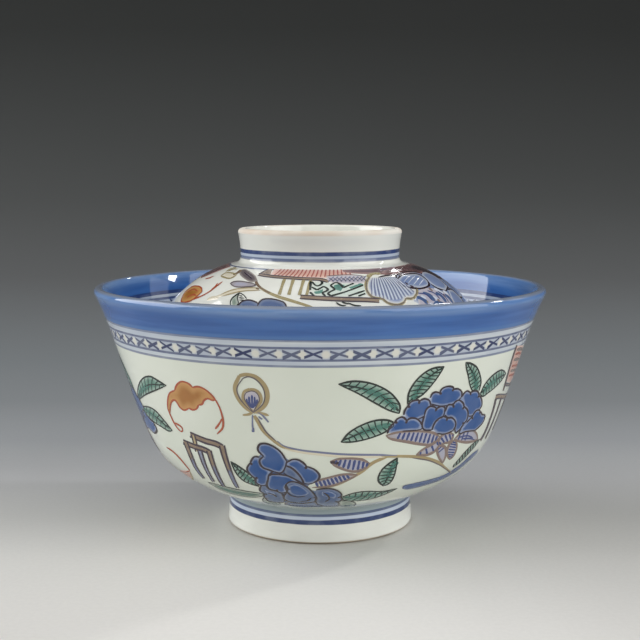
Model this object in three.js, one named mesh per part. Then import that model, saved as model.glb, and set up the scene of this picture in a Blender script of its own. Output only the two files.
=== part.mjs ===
// A lidded porcelain bowl for rice: a footed bowl with a flared mouth, and a domed lid with a ring
// on top that drops inside the mouth. Millimetres, +Z up, the table at z = 0, the axis of turning on Z.
import * as THREE from "three";

// Driving sizes of the bowl
const mouthRadius = 57.7;
const bowlHeight = 62.35;
const lipThickness = 2.4;
const wallThickness = 2.8;
const floorThickness = 4.4;
const bellyRadius = 44.5;
const bellyHeight = 24.4;
const undersideHeight = 5.9;

// Driving sizes of the foot ring under the bowl
const footRadius = 24.3;
const footWaist = 0.4;
const footLand = 2.2;
const footEdge = 0.5;
const footTaper = 0.7;
const footFillet = 1.1;

// Driving sizes of the lid
const seatDepth = 18.75;
const lidTop = 69.9;
const lidWall = 2.5;
const lidLip = 2.2;
const lidCrown = 3.4;

// Driving sizes of the ring on the lid
const ringTop = 76.7;
const ringRadius = 21.3;
const ringWaist = 0.75;
const ringLand = 1.3;
const ringEdge = 0.45;
const ringWall = 2.7;
const ringFillet = 1.3;

// Fit and fineness
const seatGap = 0.3;
const turns = 60;
const bodySteps = 9;
const wallSteps = 8;
const lidSteps = 15;
const seatSteps = 400;

const v = (r, z) => new THREE.Vector2(r, z);

// The thrown outside of the bowl, in two sweeps: the underside out to the belly, then the wall up to the lip.
const bellyLean = 0.405;
const lipLean = 0.48;
const lipHeight = bowlHeight - (lipThickness * (1 + Math.sin(lipLean))) / 2;
const lipRadius = mouthRadius - (lipThickness * (1 - Math.cos(lipLean))) / 2;
const along = (r, z, lean, reach) => v(r + reach * Math.sin(lean), z + reach * Math.cos(lean));

const underside = new THREE.CubicBezierCurve(
  v(0, undersideHeight),
  v(bellyRadius * 0.612, undersideHeight),
  along(bellyRadius, bellyHeight, bellyLean, -bellyHeight * 0.434),
  v(bellyRadius, bellyHeight),
);
const wall = new THREE.CubicBezierCurve(
  v(bellyRadius, bellyHeight),
  along(bellyRadius, bellyHeight, bellyLean, (lipHeight - bellyHeight) * 0.37),
  along(lipRadius, lipHeight, lipLean, -(lipHeight - bellyHeight) * 0.24),
  v(lipRadius, lipHeight),
);

// A point of a sweep moved into the clay by a thickness.
function inside(curve, t, thickness) {
  const point = curve.getPoint(t);
  const run = curve.getTangent(t);
  return v(point.x - run.y * thickness, point.y + run.x * thickness);
}

const blend = (a, b, t) => a + (b - a) * t;
const floorAt = (t) => inside(underside, t, blend(floorThickness, wallThickness, t));
const insideAt = (t) => inside(wall, t, blend(wallThickness, lipThickness, t));

// The height of a sweep where it reaches a radius.
function heightAt(curve, radius) {
  let low = 0;
  let high = 1;
  for (let i = 0; i < 40; i += 1) {
    const middle = (low + high) / 2;
    if (curve.getPoint(middle).x < radius) {
      low = middle;
    } else {
      high = middle;
    }
  }
  return { t: low, z: curve.getPoint(low).y };
}

// Points of a quarter or half round, from one angle to another.
function round(r, z, radius, from, to, steps) {
  const points = [];
  for (let i = 0; i <= steps; i += 1) {
    const angle = blend(from, to, i / steps);
    points.push(v(r + radius * Math.cos(angle), z + radius * Math.sin(angle)));
  }
  return points;
}

// A short quadratic sweep between two points, which softens the corner where two surfaces meet.
function soften(from, corner, to, steps) {
  return new THREE.QuadraticBezierCurve(from, corner, to).getPoints(steps);
}

// The profile of the bowl, from the axis under the floor, round the foot and the lip, to the axis inside.
function bowlProfile() {
  const footInner = footRadius - footEdge * 2 - footLand;
  const wellWall = footInner - footTaper;
  const well = heightAt(underside, wellWall);
  const neck = footRadius - footWaist;
  const join = heightAt(underside, neck);
  const out = heightAt(underside, neck + footFillet);
  const points = [];
  for (let i = 0; i <= 3; i += 1) {
    points.push(underside.getPoint((well.t * i) / 3));
  }
  points.push(v(footInner, footEdge));
  points.push(v(footInner + footEdge, 0));
  points.push(v(footInner + footEdge + footLand, 0));
  points.push(v(footRadius, footEdge));
  points.push(v(neck, (join.z - footFillet) * 0.6));
  points.push(...soften(v(neck, join.z - footFillet), v(neck, join.z), v(neck + footFillet, out.z), 3));
  for (let i = 1; i <= bodySteps; i += 1) {
    points.push(underside.getPoint(blend(out.t, 1, i / bodySteps)));
  }
  for (let i = 1; i < wallSteps; i += 1) {
    points.push(wall.getPoint(i / wallSteps));
  }
  const outer = wall.getPoint(1);
  const inner = insideAt(1);
  const middle = v((outer.x + inner.x) / 2, (outer.y + inner.y) / 2);
  const half = outer.distanceTo(inner) / 2;
  const start = Math.atan2(outer.y - middle.y, outer.x - middle.x);
  points.push(...round(middle.x, middle.y, half, start, start + Math.PI, 6));
  for (let i = wallSteps - 1; i >= 0; i -= 1) {
    points.push(insideAt(i / wallSteps));
  }
  for (let i = bodySteps + 2; i >= 0; i -= 1) {
    points.push(floorAt(i / (bodySteps + 3)));
  }
  return points;
}

// The radius at which a round edge at a height clears the inside of the bowl by a gap.
function clearRadius(z, reach) {
  let radius = mouthRadius;
  for (let i = 0; i <= seatSteps; i += 1) {
    const point = insideAt(i / seatSteps);
    const rise = point.y - z;
    if (Math.abs(rise) < reach) {
      radius = Math.min(radius, point.x - Math.sqrt(reach * reach - rise * rise));
    }
  }
  return radius;
}

// The lid hangs from the round edge that rests on the bowl's wall, so its size follows from the bowl's.
const lidEdge = lidLip / 2;
const seatHeight = bowlHeight - seatDepth;
const seatRadius = clearRadius(seatHeight, lidEdge + seatGap);
const lidLean = 1.02;
const lidReach = (lidTop - seatHeight) * 0.89;
const lidStart = v(seatRadius + lidEdge * Math.sin(lidLean), seatHeight + lidEdge * Math.cos(lidLean));
const dome = new THREE.CubicBezierCurve(
  v(0, lidTop),
  v(seatRadius * 0.61, lidTop),
  v(lidStart.x - lidReach * Math.cos(lidLean), lidStart.y + lidReach * Math.sin(lidLean)),
  lidStart,
);

// A point of the dome moved down into the clay by a thickness.
function underDome(t, thickness) {
  const point = dome.getPoint(t);
  const run = dome.getTangent(t);
  return v(point.x + run.y * thickness, point.y - run.x * thickness);
}

// The profile of the lid, from the axis inside it, round its edge, up the dome and over the ring to the axis.
function lidProfile() {
  const ringNeck = ringRadius - ringWaist;
  const wellWall = ringNeck - ringWall;
  const well = heightAt(dome, wellWall);
  const join = heightAt(dome, ringNeck);
  const out = heightAt(dome, ringNeck + ringFillet);
  const neckHeight = blend(join.z, ringTop, 0.45);
  const landInner = ringRadius - ringEdge * 2 - ringLand;
  const points = [];
  for (let i = 0; i < lidSteps; i += 1) {
    const t = i / lidSteps;
    points.push(underDome(t, t < 0.5 ? blend(lidCrown, lidWall, t * 2) : blend(lidWall, lidLip, t * 2 - 1)));
  }
  const edge = v(seatRadius, seatHeight);
  const outward = Math.atan2(Math.cos(lidLean), Math.sin(lidLean));
  points.push(...round(edge.x, edge.y, lidEdge, outward - Math.PI, outward, 6));
  for (let i = lidSteps - 1; i >= 1; i -= 1) {
    points.push(dome.getPoint(blend(out.t, 1, i / lidSteps)));
  }
  const foot = v(ringNeck, join.z + ringFillet);
  points.push(...soften(v(ringNeck + ringFillet, out.z), v(ringNeck, join.z), foot, 4));
  points.push(v(ringNeck, neckHeight));
  points.push(v(ringRadius - ringEdge * 0.6, ringTop - ringEdge * 3));
  points.push(v(ringRadius, ringTop - ringEdge * 1.4));
  points.push(v(ringRadius - ringEdge, ringTop));
  points.push(v(landInner + ringEdge, ringTop));
  points.push(v(landInner, ringTop - ringEdge));
  for (let i = 3; i >= 0; i -= 1) {
    points.push(dome.getPoint((well.t * i) / 3));
  }
  return points;
}

// Turns a profile about Z. Ends on the axis are set to exactly zero radius.
function turned(name, profile, colour) {
  const points = profile.map((p) => v(Math.abs(p.x) < 1e-6 ? 0 : p.x, p.y));
  const geometry = new THREE.LatheGeometry(points, turns);
  geometry.rotateX(Math.PI / 2);
  const material = new THREE.MeshStandardMaterial({ color: colour, roughness: 0.12, metalness: 0 });
  const mesh = new THREE.Mesh(geometry, material);
  mesh.name = name;
  return mesh;
}

const group = new THREE.Group();
group.name = "lidded_bowl";
group.add(turned("bowl", bowlProfile(), 0xd9ddd6));
group.add(turned("lid", lidProfile(), 0xd9ddd6));

export default group;
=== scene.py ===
# %% [markdown]
# # A lidded porcelain bowl for rice
# The bowl and its lid are two pieces of porcelain, each thrown and trimmed on a wheel. They were
# painted twice: in cobalt blue on the dry clay, which the clear glaze then covered, and in enamels
# and gold on top of the fired glaze. This lesson keeps that order. It turns the two pieces, paints
# the blue into their glaze material, and lays the enamels on as thin films with meshes of their own.
# Lengths are millimetres while a piece is drawn, and metres in its finished mesh.

# %% The frame that everything is built on
import math
import random

import bpy
import numpy as np
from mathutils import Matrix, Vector
from mathutils.geometry import delaunay_2d_cdt, interpolate_bezier
from mathutils.kdtree import KDTree


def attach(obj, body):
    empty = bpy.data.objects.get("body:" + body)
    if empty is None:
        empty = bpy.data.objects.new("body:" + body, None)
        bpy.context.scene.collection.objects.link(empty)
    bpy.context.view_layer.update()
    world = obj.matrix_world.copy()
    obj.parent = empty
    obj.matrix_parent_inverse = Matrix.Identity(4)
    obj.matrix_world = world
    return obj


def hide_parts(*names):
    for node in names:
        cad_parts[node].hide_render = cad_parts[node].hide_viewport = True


MM = 0.001

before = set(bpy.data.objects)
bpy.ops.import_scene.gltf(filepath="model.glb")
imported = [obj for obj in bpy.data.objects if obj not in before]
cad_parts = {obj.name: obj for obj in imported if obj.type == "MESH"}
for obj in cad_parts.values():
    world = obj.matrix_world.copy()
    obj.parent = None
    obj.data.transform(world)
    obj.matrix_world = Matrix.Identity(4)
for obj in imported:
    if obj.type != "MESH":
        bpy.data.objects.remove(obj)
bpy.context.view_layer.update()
scene = bpy.context.scene
scene.view_settings.view_transform = "Standard"

# %% [markdown]
# ## The camera
# The painted rings on the bowl are true circles, so the ellipses that they make in the photograph
# give the camera away: its height, its tilt and its lens were fitted to them. It stands about 30 cm
# from the bowl and looks slightly down, so the far rim shows behind the near one.

# %% Camera
camera_place = (0.0, -0.2975, 0.0888)
camera_tilt = 0.1209
camera_lens = 64.63
film_width = 36.0
nearest_seen = 0.01

bpy.ops.object.camera_add(location=camera_place, rotation=(math.pi / 2 - camera_tilt, 0.0, 0.0))
camera = bpy.context.object
camera.data.sensor_width = film_width
camera.data.lens = camera_lens
camera.data.clip_start = nearest_seen
scene.camera = camera
print("camera lens", round(camera.data.lens, 2), "mm")

# %% [markdown]
# ## The half sections
# A potter checks a thrown shape against a rib, a board cut to half the section. The same half section
# is drawn here: two cubic sweeps for the outside of the bowl, the same sweeps moved into the clay for
# the inside, and short softened corners for the foot ring. The sizes are those of the CAD solids.

# %% Sizes of the two pieces
mouth_radius = 57.7
bowl_height = 62.35
lip_thickness = 2.4
lip_lean = 0.48
wall_thickness = 2.8
floor_thickness = 4.4
belly = (44.5, 24.4)
belly_lean = 0.405
underside_height = 5.9
foot_radius = 24.3
foot_neck = 23.9
foot_neck_height = 4.7
foot_inner = 21.1
foot_well = 20.4
foot_fillet = 1.1
lid_top = 69.9
lid_wall = 2.5
lid_lip = 2.2
lid_crown = 3.4
lid_lean = 1.02
seat_height = 43.6
seat_gap = 0.3
ring_top = 76.7
ring_radius = 21.33
ring_neck = 20.55
ring_neck_height = 72.3
ring_inner = 19.1
ring_well = 17.85
ring_fillet = 1.3
print("bowl", 2 * mouth_radius, "mm across,", bowl_height, "mm high")


# %% Drawing tools for sections
def sweep(start, pull_out, pull_in, end, steps=64):
    """Points of a cubic sweep between two points of the section."""
    corners = [Vector(corner) for corner in (start, pull_out, pull_in, end)]
    return np.array([tuple(point) for point in interpolate_bezier(*corners, steps)])


def along(point, lean, reach):
    """A point moved along a line that leans away from the axis."""
    return (point[0] + reach * math.sin(lean), point[1] + reach * math.cos(lean))


def directions(points):
    """The unit direction of a line at each of its points."""
    steps = np.gradient(points, axis=0)
    return steps / np.linalg.norm(steps, axis=1)[:, None]


def moved_left(points, first, last):
    """A line moved to its left, by a distance that changes from first to last."""
    run = directions(points)
    reach = np.linspace(first, last, len(points))[:, None]
    return points + reach * np.column_stack([-run[:, 1], run[:, 0]])


def rounded(corners, reaches, steps=7):
    """A chain of straight lines whose inner corners are softened over the given reaches."""
    points = [corners[0]]
    for before, corner, after, reach in zip(corners, corners[1:], corners[2:], reaches):
        corner = Vector(corner)
        start = corner + (Vector(before) - corner).normalized() * reach
        end = corner + (Vector(after) - corner).normalized() * reach
        points += interpolate_bezier(start, start.lerp(corner, 2 / 3), end.lerp(corner, 2 / 3), end, steps)
    points.append(corners[-1])
    return np.array([tuple(point) for point in points])


def half_round(first, last, steps=13):
    """Points of the half circle that turns left from one point to another."""
    middle = (first + last) / 2
    arm = first - middle
    angles = np.linspace(0.0, math.pi, steps)
    across = np.array([-arm[1], arm[0]])
    return middle + np.outer(np.cos(angles), arm) + np.outer(np.sin(angles), across)


# %% Half section of the bowl
# How far the sweeps keep the direction of their ends, as shares of a height or a radius
underside_pull = 0.612
belly_pull_in = 0.434
belly_pull_out = 0.37
lip_pull = 0.24
# Where the softened corners begin and end, in millimetres or in fillets
foot_softening = [0.8, 0.5, 1.3, 1.6, foot_fillet]
well_reach = 1.0
well_clear = 1.1
fillet_reach = 1.5
fillet_clear = 1.6

lip_height = bowl_height - lip_thickness * (1 + math.sin(lip_lean)) / 2
lip = (mouth_radius - lip_thickness * (1 - math.cos(lip_lean)) / 2, lip_height)
rise = lip_height - belly[1]
underside = sweep(
    (0.0, underside_height),
    (underside_pull * belly[0], underside_height),
    along(belly, belly_lean, -belly_pull_in * belly[1]),
    belly,
)
wall = sweep(
    belly,
    along(belly, belly_lean, belly_pull_out * rise),
    along(lip, lip_lean, -lip_pull * rise),
    lip,
)
inner_floor = moved_left(underside, floor_thickness, wall_thickness)
inner_wall = moved_left(wall, wall_thickness, lip_thickness)


def underside_at(radius):
    """A point of the bowl's underside, at a distance from the axis."""
    return (radius, float(np.interp(radius, underside[:, 0], underside[:, 1])))


foot_ring = rounded(
    [
        underside_at(foot_well - well_reach),
        underside_at(foot_well),
        (foot_inner, 0.0),
        (foot_radius, 0.0),
        (foot_neck, foot_neck_height),
        (foot_neck, underside_at(foot_neck)[1]),
        underside_at(foot_neck + fillet_reach * foot_fillet),
    ],
    foot_softening,
)
past_fillet = underside[:, 0] > foot_neck + fillet_clear * foot_fillet
inside_well = underside[:, 0] < foot_well - well_clear
bowl_outside = np.vstack([foot_ring, underside[past_fillet][:-1], wall])
bowl_lip = half_round(wall[-1], inner_wall[-1])
bowl_section = np.vstack(
    [
        underside[inside_well],
        bowl_outside,
        bowl_lip[1:-1],
        inner_wall[::-1],
        inner_floor[-2::-1],
    ]
)
print("bowl section has", len(bowl_section), "points")

# %% Half section of the lid
dome_pull = 0.61
edge_pull = 0.89
dome_steps = 90
ring_softening = [ring_fillet, 2.2, 1.5, 0.6, 0.8]

lid_edge = lid_lip / 2
edge_reach = lid_edge + seat_gap
above_seat = inner_wall[:, 1] - seat_height
near_seat = np.abs(above_seat) < edge_reach
clear_radii = inner_wall[near_seat, 0] - np.sqrt(edge_reach**2 - above_seat[near_seat] ** 2)
seat_radius = float(clear_radii.min())
lid_start = (
    seat_radius + lid_edge * math.sin(lid_lean),
    seat_height + lid_edge * math.cos(lid_lean),
)
dome_reach = edge_pull * (lid_top - seat_height)
dome = sweep(
    (0.0, lid_top),
    (dome_pull * seat_radius, lid_top),
    (lid_start[0] - dome_reach * math.cos(lid_lean), lid_start[1] + dome_reach * math.sin(lid_lean)),
    lid_start,
    dome_steps,
)
under_dome = np.vstack(
    [
        moved_left(dome, -lid_crown, 2 * (lid_crown - lid_wall) - lid_crown)[: dome_steps // 2],
        moved_left(dome, lid_lip - 2 * lid_wall, -lid_lip)[dome_steps // 2 :],
    ]
)


def dome_at(radius):
    """A point of the lid's dome, at a distance from the axis."""
    return (radius, float(np.interp(radius, dome[:, 0], dome[:, 1])))


lid_ring = rounded(
    [
        dome_at(ring_neck + fillet_reach * ring_fillet),
        dome_at(ring_neck),
        (ring_neck, ring_neck_height),
        (ring_radius, ring_top),
        (ring_inner, ring_top),
        dome_at(ring_well),
        dome_at(ring_well - well_reach),
    ],
    ring_softening,
)
lid_outside = dome[dome[:, 0] > ring_neck + fillet_clear * ring_fillet][::-1]
lid_edge_round = half_round(under_dome[-1], dome[-1])[1:-1]
first_dome = len(under_dome) + len(lid_edge_round)
lid_section = np.vstack(
    [
        under_dome,
        lid_edge_round,
        lid_outside,
        lid_ring,
        dome[dome[:, 0] < ring_well - well_clear][::-1],
    ]
)
print("lid section has", len(lid_section), "points, seat radius", round(seat_radius, 2), "mm")

# %% [markdown]
# ## Turning the pieces
# Both pieces are round, so each is its half section spun about the axis, as clay is spun on a wheel.
# A lathe modifier would do the same; the spin operator leaves a plain mesh at once. Its first and
# last columns meet, so the doubles are merged before the normals are turned outwards. Each point also
# keeps how far along the section it lies, in millimetres: the painted rings are placed by it.

# %% Turning tool
TURNS = 192


def run_along(section, zero):
    """Distance of each point of a section from one of its points, measured along the section."""
    steps = np.linalg.norm(np.diff(section, axis=0), axis=1)
    run = np.concatenate([[0.0], np.cumsum(steps)])
    return run - run[zero]


def turned(name, section, run):
    """A closed round piece, spun from its half section, with the run kept at each point."""
    section = section.copy()
    section[[0, -1], 0] = 0.0
    mesh = bpy.data.meshes.new(name)
    points = [(r * MM, 0.0, z * MM) for r, z in section]
    mesh.from_pydata(points, [(i, i + 1) for i in range(len(points) - 1)], [])
    piece = bpy.data.objects.new(name, mesh)
    scene.collection.objects.link(piece)
    bpy.ops.object.select_all(action="DESELECT")
    bpy.context.view_layer.objects.active = piece
    piece.select_set(True)
    bpy.ops.object.mode_set(mode="EDIT")
    bpy.ops.mesh.select_all(action="SELECT")
    bpy.ops.mesh.spin(steps=TURNS, angle=2 * math.pi, center=(0, 0, 0), axis=(0, 0, 1))
    bpy.ops.mesh.select_all(action="SELECT")
    bpy.ops.mesh.remove_doubles(threshold=1e-7)
    bpy.ops.mesh.normals_make_consistent(inside=False)
    bpy.ops.object.mode_set(mode="OBJECT")
    bpy.ops.object.shade_smooth()
    nearest = KDTree(len(points))
    for i, point in enumerate(points):
        nearest.insert(point, i)
    nearest.balance()
    kept = mesh.attributes.new("run", "FLOAT", "POINT")
    for i, vertex in enumerate(mesh.vertices):
        radius = math.hypot(vertex.co.x, vertex.co.y)
        kept.data[i].value = run[nearest.find((radius, 0.0, vertex.co.z))[1]]
    print(name, "has", len(mesh.polygons), "faces")
    return piece


# %% Bowl and lid
# The outer edge of the ring's land, counted along the section of the ring
rim_point = 25

lip_top = int(np.argmax(bowl_section[:, 1]))
ring_rim = first_dome + len(lid_outside) + rim_point
bowl_run = -run_along(bowl_section, lip_top)
lid_run = -run_along(lid_section, ring_rim)
bowl = turned("bowl_body", bowl_section, bowl_run)
lid = turned("lid_body", lid_section, lid_run)
for piece, node in ((bowl, "bowl"), (lid, "lid")):
    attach(piece, node)
    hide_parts(node)


def run_at_height(section, run, height, first, last):
    """The run at which a stretch of a section that rises or falls crosses a height."""
    stretch = slice(first, last)
    order = np.argsort(section[stretch, 1])
    return float(np.interp(height, section[stretch, 1][order], run[stretch][order]))


print("bowl run from", round(bowl_run.min(), 1), "to", round(bowl_run.max(), 1), "mm")

# %% [markdown]
# ## Node tools
# Every finish is a small graph of shader nodes. A few helpers keep the graphs readable: one adds a
# node and feeds its inputs, the others stand for sums, soft steps and mixing two colours. Colours are
# written as they look on screen, from 0 to 255, and turned into the linear values that a shader wants.


# %% Node tools
def paint(red, green, blue):
    """A colour written as it looks on screen, as a linear colour."""
    parts = [part / 255 for part in (red, green, blue)]
    linear = [p / 12.92 if p <= 0.04045 else ((p + 0.055) / 1.055) ** 2.4 for p in parts]
    return (*linear, 1.0)


def feed(tree, value, socket):
    """Links a node's output to a socket, or sets the socket to a plain value."""
    if isinstance(value, bpy.types.NodeSocket):
        tree.links.new(value, socket)
    else:
        socket.default_value = value


def add_node(tree, kind, inputs=None, **settings):
    """A new shader node with its settings and inputs."""
    made = tree.nodes.new("ShaderNode" + kind)
    made.location.x = 190 * len(tree.nodes)
    for name, value in settings.items():
        setattr(made, name, value)
    for key, value in (inputs or {}).items():
        feed(tree, value, made.inputs[key])
    return made


def calc(tree, operation, *values):
    """The result of one sum."""
    return add_node(tree, "Math", dict(enumerate(values)), operation=operation).outputs[0]


def soft_step(tree, value, low, high, bottom=0.0, top=1.0):
    """A value that rises softly from bottom to top while another goes from low to high."""
    inputs = {"Value": value, "From Min": low, "From Max": high, "To Min": bottom, "To Max": top}
    return add_node(tree, "MapRange", inputs, interpolation_type="SMOOTHSTEP").outputs["Result"]


def mixed(tree, share, under, over):
    """Two colours mixed by a share from 0 to 1."""
    made = add_node(tree, "Mix", {0: share, 6: under, 7: over}, data_type="RGBA")
    return made.outputs[2]


def noise(tree, vector, scale, detail=2.0):
    """Soft cloudy noise from 0 to 1."""
    inputs = {"Vector": vector, "Scale": scale, "Detail": detail}
    return add_node(tree, "TexNoise", inputs).outputs["Fac"]


def object_place(tree):
    """The place of a point on its piece, in metres."""
    return add_node(tree, "TexCoord").outputs["Object"]


def kept_value(tree, name):
    """A value that each point of the mesh keeps."""
    return add_node(tree, "Attribute", attribute_name=name).outputs["Fac"]


def new_group(name, inputs, outputs):
    """An empty node group with named sockets: the tree, its inputs and its output node."""
    tree = bpy.data.node_groups.new(name, "ShaderNodeTree")
    for label, kind in inputs:
        tree.interface.new_socket(label, in_out="INPUT", socket_type="NodeSocket" + kind)
    for label, kind in outputs:
        tree.interface.new_socket(label, in_out="OUTPUT", socket_type="NodeSocket" + kind)
    entry = tree.nodes.new("NodeGroupInput")
    leave = tree.nodes.new("NodeGroupOutput")
    print("new group", name)
    return tree, entry.outputs, leave.inputs


def use_group(tree, group, inputs):
    """A group placed in a material, with its own values."""
    made = tree.nodes.new("ShaderNodeGroup")
    made.node_tree = group
    for key, value in inputs.items():
        feed(tree, value, made.inputs[key])
    return made.outputs


def new_material(name):
    """A material with only a Principled shader: its tree and that shader's inputs."""
    material = bpy.data.materials.new(name)
    material.use_nodes = True
    tree = material.node_tree
    return material, tree, tree.nodes["Principled BSDF"].inputs


# %% [markdown]
# ## The glaze and the blue under it
# A clear glaze lies on the clay like thick water: very smooth, with a slow swell and a few pinholes.
# Cobalt painted under it has no thickness to feel, so it belongs in the material and not in the mesh.
# Four groups hold what the pieces share: the swell of the glaze, a brushed line, a brushed band, and
# the row of small crosses between the rim lines.

# %% Group: the swell of the glaze
glaze_skin, entry, leave = new_group(
    "glaze_skin", [("Roughness", "Float")], [("Roughness", "Float"), ("Height", "Float")]
)
place = object_place(glaze_skin)
swell = noise(glaze_skin, place, 90.0, 1.0)
fine = noise(glaze_skin, place, 1400.0, 2.0)
pinholes = soft_step(glaze_skin, noise(glaze_skin, place, 900.0, 0.0), 0.22, 0.16)
uneven = calc(glaze_skin, "MULTIPLY_ADD", fine, 0.04, entry["Roughness"])
feed(glaze_skin, calc(glaze_skin, "MULTIPLY_ADD", pinholes, 0.1, uneven), leave["Roughness"])
wavy = calc(glaze_skin, "MULTIPLY_ADD", fine, 0.015, swell)
feed(glaze_skin, calc(glaze_skin, "MULTIPLY_ADD", pinholes, -0.03, wavy), leave["Height"])

# %% Group: a brushed line round the piece
brushed_line, entry, leave = new_group(
    "brushed_line", [("Run", "Float"), ("At", "Float"), ("Width", "Float")], [("Mask", "Float")]
)
place = object_place(brushed_line)
sway = calc(brushed_line, "MULTIPLY_ADD", noise(brushed_line, place, 32.0), 0.3, -0.15)
off = calc(brushed_line, "ADD", calc(brushed_line, "SUBTRACT", entry["Run"], entry["At"]), sway)
off = calc(brushed_line, "ABSOLUTE", off)
pressure = calc(brushed_line, "MULTIPLY_ADD", noise(brushed_line, place, 110.0), 0.3, 0.35)
half = calc(brushed_line, "MULTIPLY", entry["Width"], pressure)
edge = calc(brushed_line, "ADD", half, 0.14)
inked = soft_step(brushed_line, off, edge, half)
load = soft_step(brushed_line, noise(brushed_line, place, 240.0), 0.25, 0.6, 0.85, 1.0)
feed(brushed_line, calc(brushed_line, "MULTIPLY", inked, load), leave["Mask"])

# %% Group: a brushed band round the piece
brushed_band, entry, leave = new_group(
    "brushed_band",
    [("Run", "Float"), ("From", "Float"), ("To", "Float"), ("Soft", "Float")],
    [("Mask", "Float"), ("Streak", "Float")],
)
place = object_place(brushed_band)
sway = calc(brushed_band, "MULTIPLY_ADD", noise(brushed_band, place, 40.0), 0.3, -0.15)
run = calc(brushed_band, "ADD", entry["Run"], sway)
before = calc(brushed_band, "SUBTRACT", entry["From"], entry["Soft"])
after = calc(brushed_band, "ADD", entry["To"], entry["Soft"])
starts = soft_step(brushed_band, run, before, entry["From"])
ends = soft_step(brushed_band, run, entry["To"], after, 1.0, 0.0)
feed(brushed_band, calc(brushed_band, "MULTIPLY", starts, ends), leave["Mask"])
around = add_node(brushed_band, "VectorMath", {0: place}, operation="NORMALIZE").outputs[0]
flat = add_node(brushed_band, "SeparateXYZ", {0: around}).outputs
drawn_out = calc(brushed_band, "MULTIPLY", entry["Run"], 0.16)
strokes = add_node(brushed_band, "CombineXYZ", {0: flat[0], 1: flat[1], 2: drawn_out}).outputs[0]
feed(brushed_band, noise(brushed_band, strokes, 3.0, 3.0), leave["Streak"])

# %% Group: the row of crosses
# Where the first cross stands, in crosses, the slopes of its strokes, and soft edges in millimetres
FIRST_CROSS = -0.25
SLOPE_UP = 0.45
SLOPE_DOWN = -0.43
STROKE_EDGE = 0.18
REACH_EDGE = 0.2
GAP_BARE = 0.55
GAP_WASHED = 1.35

cross_row, entry, leave = new_group(
    "cross_row",
    [("Run", "Float"), ("Middle", "Float"), ("Count", "Float"), ("Pitch", "Float"), ("Reach", "Float")],
    [("Strokes", "Float"), ("Wash", "Float")],
)
flat = add_node(cross_row, "SeparateXYZ", {0: object_place(cross_row)}).outputs
turn = calc(cross_row, "ARCTAN2", flat[0], calc(cross_row, "MULTIPLY", flat[1], -1.0))
cells = calc(cross_row, "MULTIPLY", calc(cross_row, "DIVIDE", turn, 2 * math.pi), entry["Count"])
cells = calc(cross_row, "ADD", calc(cross_row, "ADD", cells, entry["Count"]), FIRST_CROSS)
cell = calc(cross_row, "FLOOR", cells)
chance = add_node(cross_row, "TexWhiteNoise", {"W": cell}, noise_dimensions="1D").outputs["Color"]
luck = add_node(cross_row, "SeparateXYZ", {0: chance}).outputs
in_cell = calc(cross_row, "SUBTRACT", calc(cross_row, "FRACT", cells), 0.5)
in_cell = calc(cross_row, "MULTIPLY", in_cell, entry["Pitch"])
across = calc(cross_row, "ADD", in_cell, calc(cross_row, "MULTIPLY_ADD", luck[0], 0.6, -0.3))
in_row = calc(cross_row, "SUBTRACT", entry["Middle"], entry["Run"])
height = calc(cross_row, "ADD", in_row, calc(cross_row, "MULTIPLY_ADD", luck[1], 0.3, -0.15))
lean = calc(cross_row, "MULTIPLY_ADD", luck[2], 0.2, -0.1)
rising = calc(cross_row, "MULTIPLY", calc(cross_row, "ADD", lean, SLOPE_UP), across)
falling = calc(cross_row, "MULTIPLY", calc(cross_row, "ADD", lean, SLOPE_DOWN), across)
off_rising = calc(cross_row, "ABSOLUTE", calc(cross_row, "SUBTRACT", height, rising))
off_falling = calc(cross_row, "ABSOLUTE", calc(cross_row, "SUBTRACT", height, falling))
thin = calc(cross_row, "MULTIPLY_ADD", luck[1], 0.14, 0.16)
pressed = soft_step(cross_row, across, 0.3, -1.2, 0.0, 0.26)
thick = calc(cross_row, "MULTIPLY_ADD", pressed, luck[2], thin)
brushed_up = soft_step(cross_row, off_rising, calc(cross_row, "ADD", thick, STROKE_EDGE), thick)
brushed_down = soft_step(cross_row, off_falling, calc(cross_row, "ADD", thin, STROKE_EDGE), thin)
inked = calc(cross_row, "MAXIMUM", brushed_up, brushed_down)
far = calc(cross_row, "ABSOLUTE", across)
in_reach = soft_step(cross_row, far, calc(cross_row, "ADD", entry["Reach"], REACH_EDGE), entry["Reach"])
dark = calc(cross_row, "MULTIPLY_ADD", luck[0], 0.2, 0.8)
reached = calc(cross_row, "MULTIPLY", inked, in_reach)
feed(cross_row, calc(cross_row, "MULTIPLY", reached, dark), leave["Strokes"])
half_pitch = calc(cross_row, "MULTIPLY", entry["Pitch"], 0.5)
to_next = calc(cross_row, "SUBTRACT", half_pitch, calc(cross_row, "ABSOLUTE", in_cell))
from_gap = add_node(cross_row, "CombineXYZ", {0: to_next, 1: in_row}).outputs[0]
from_gap = add_node(cross_row, "VectorMath", {0: from_gap}, operation="LENGTH").outputs["Value"]
feed(cross_row, soft_step(cross_row, from_gap, GAP_BARE, GAP_WASHED), leave["Wash"])
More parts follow.
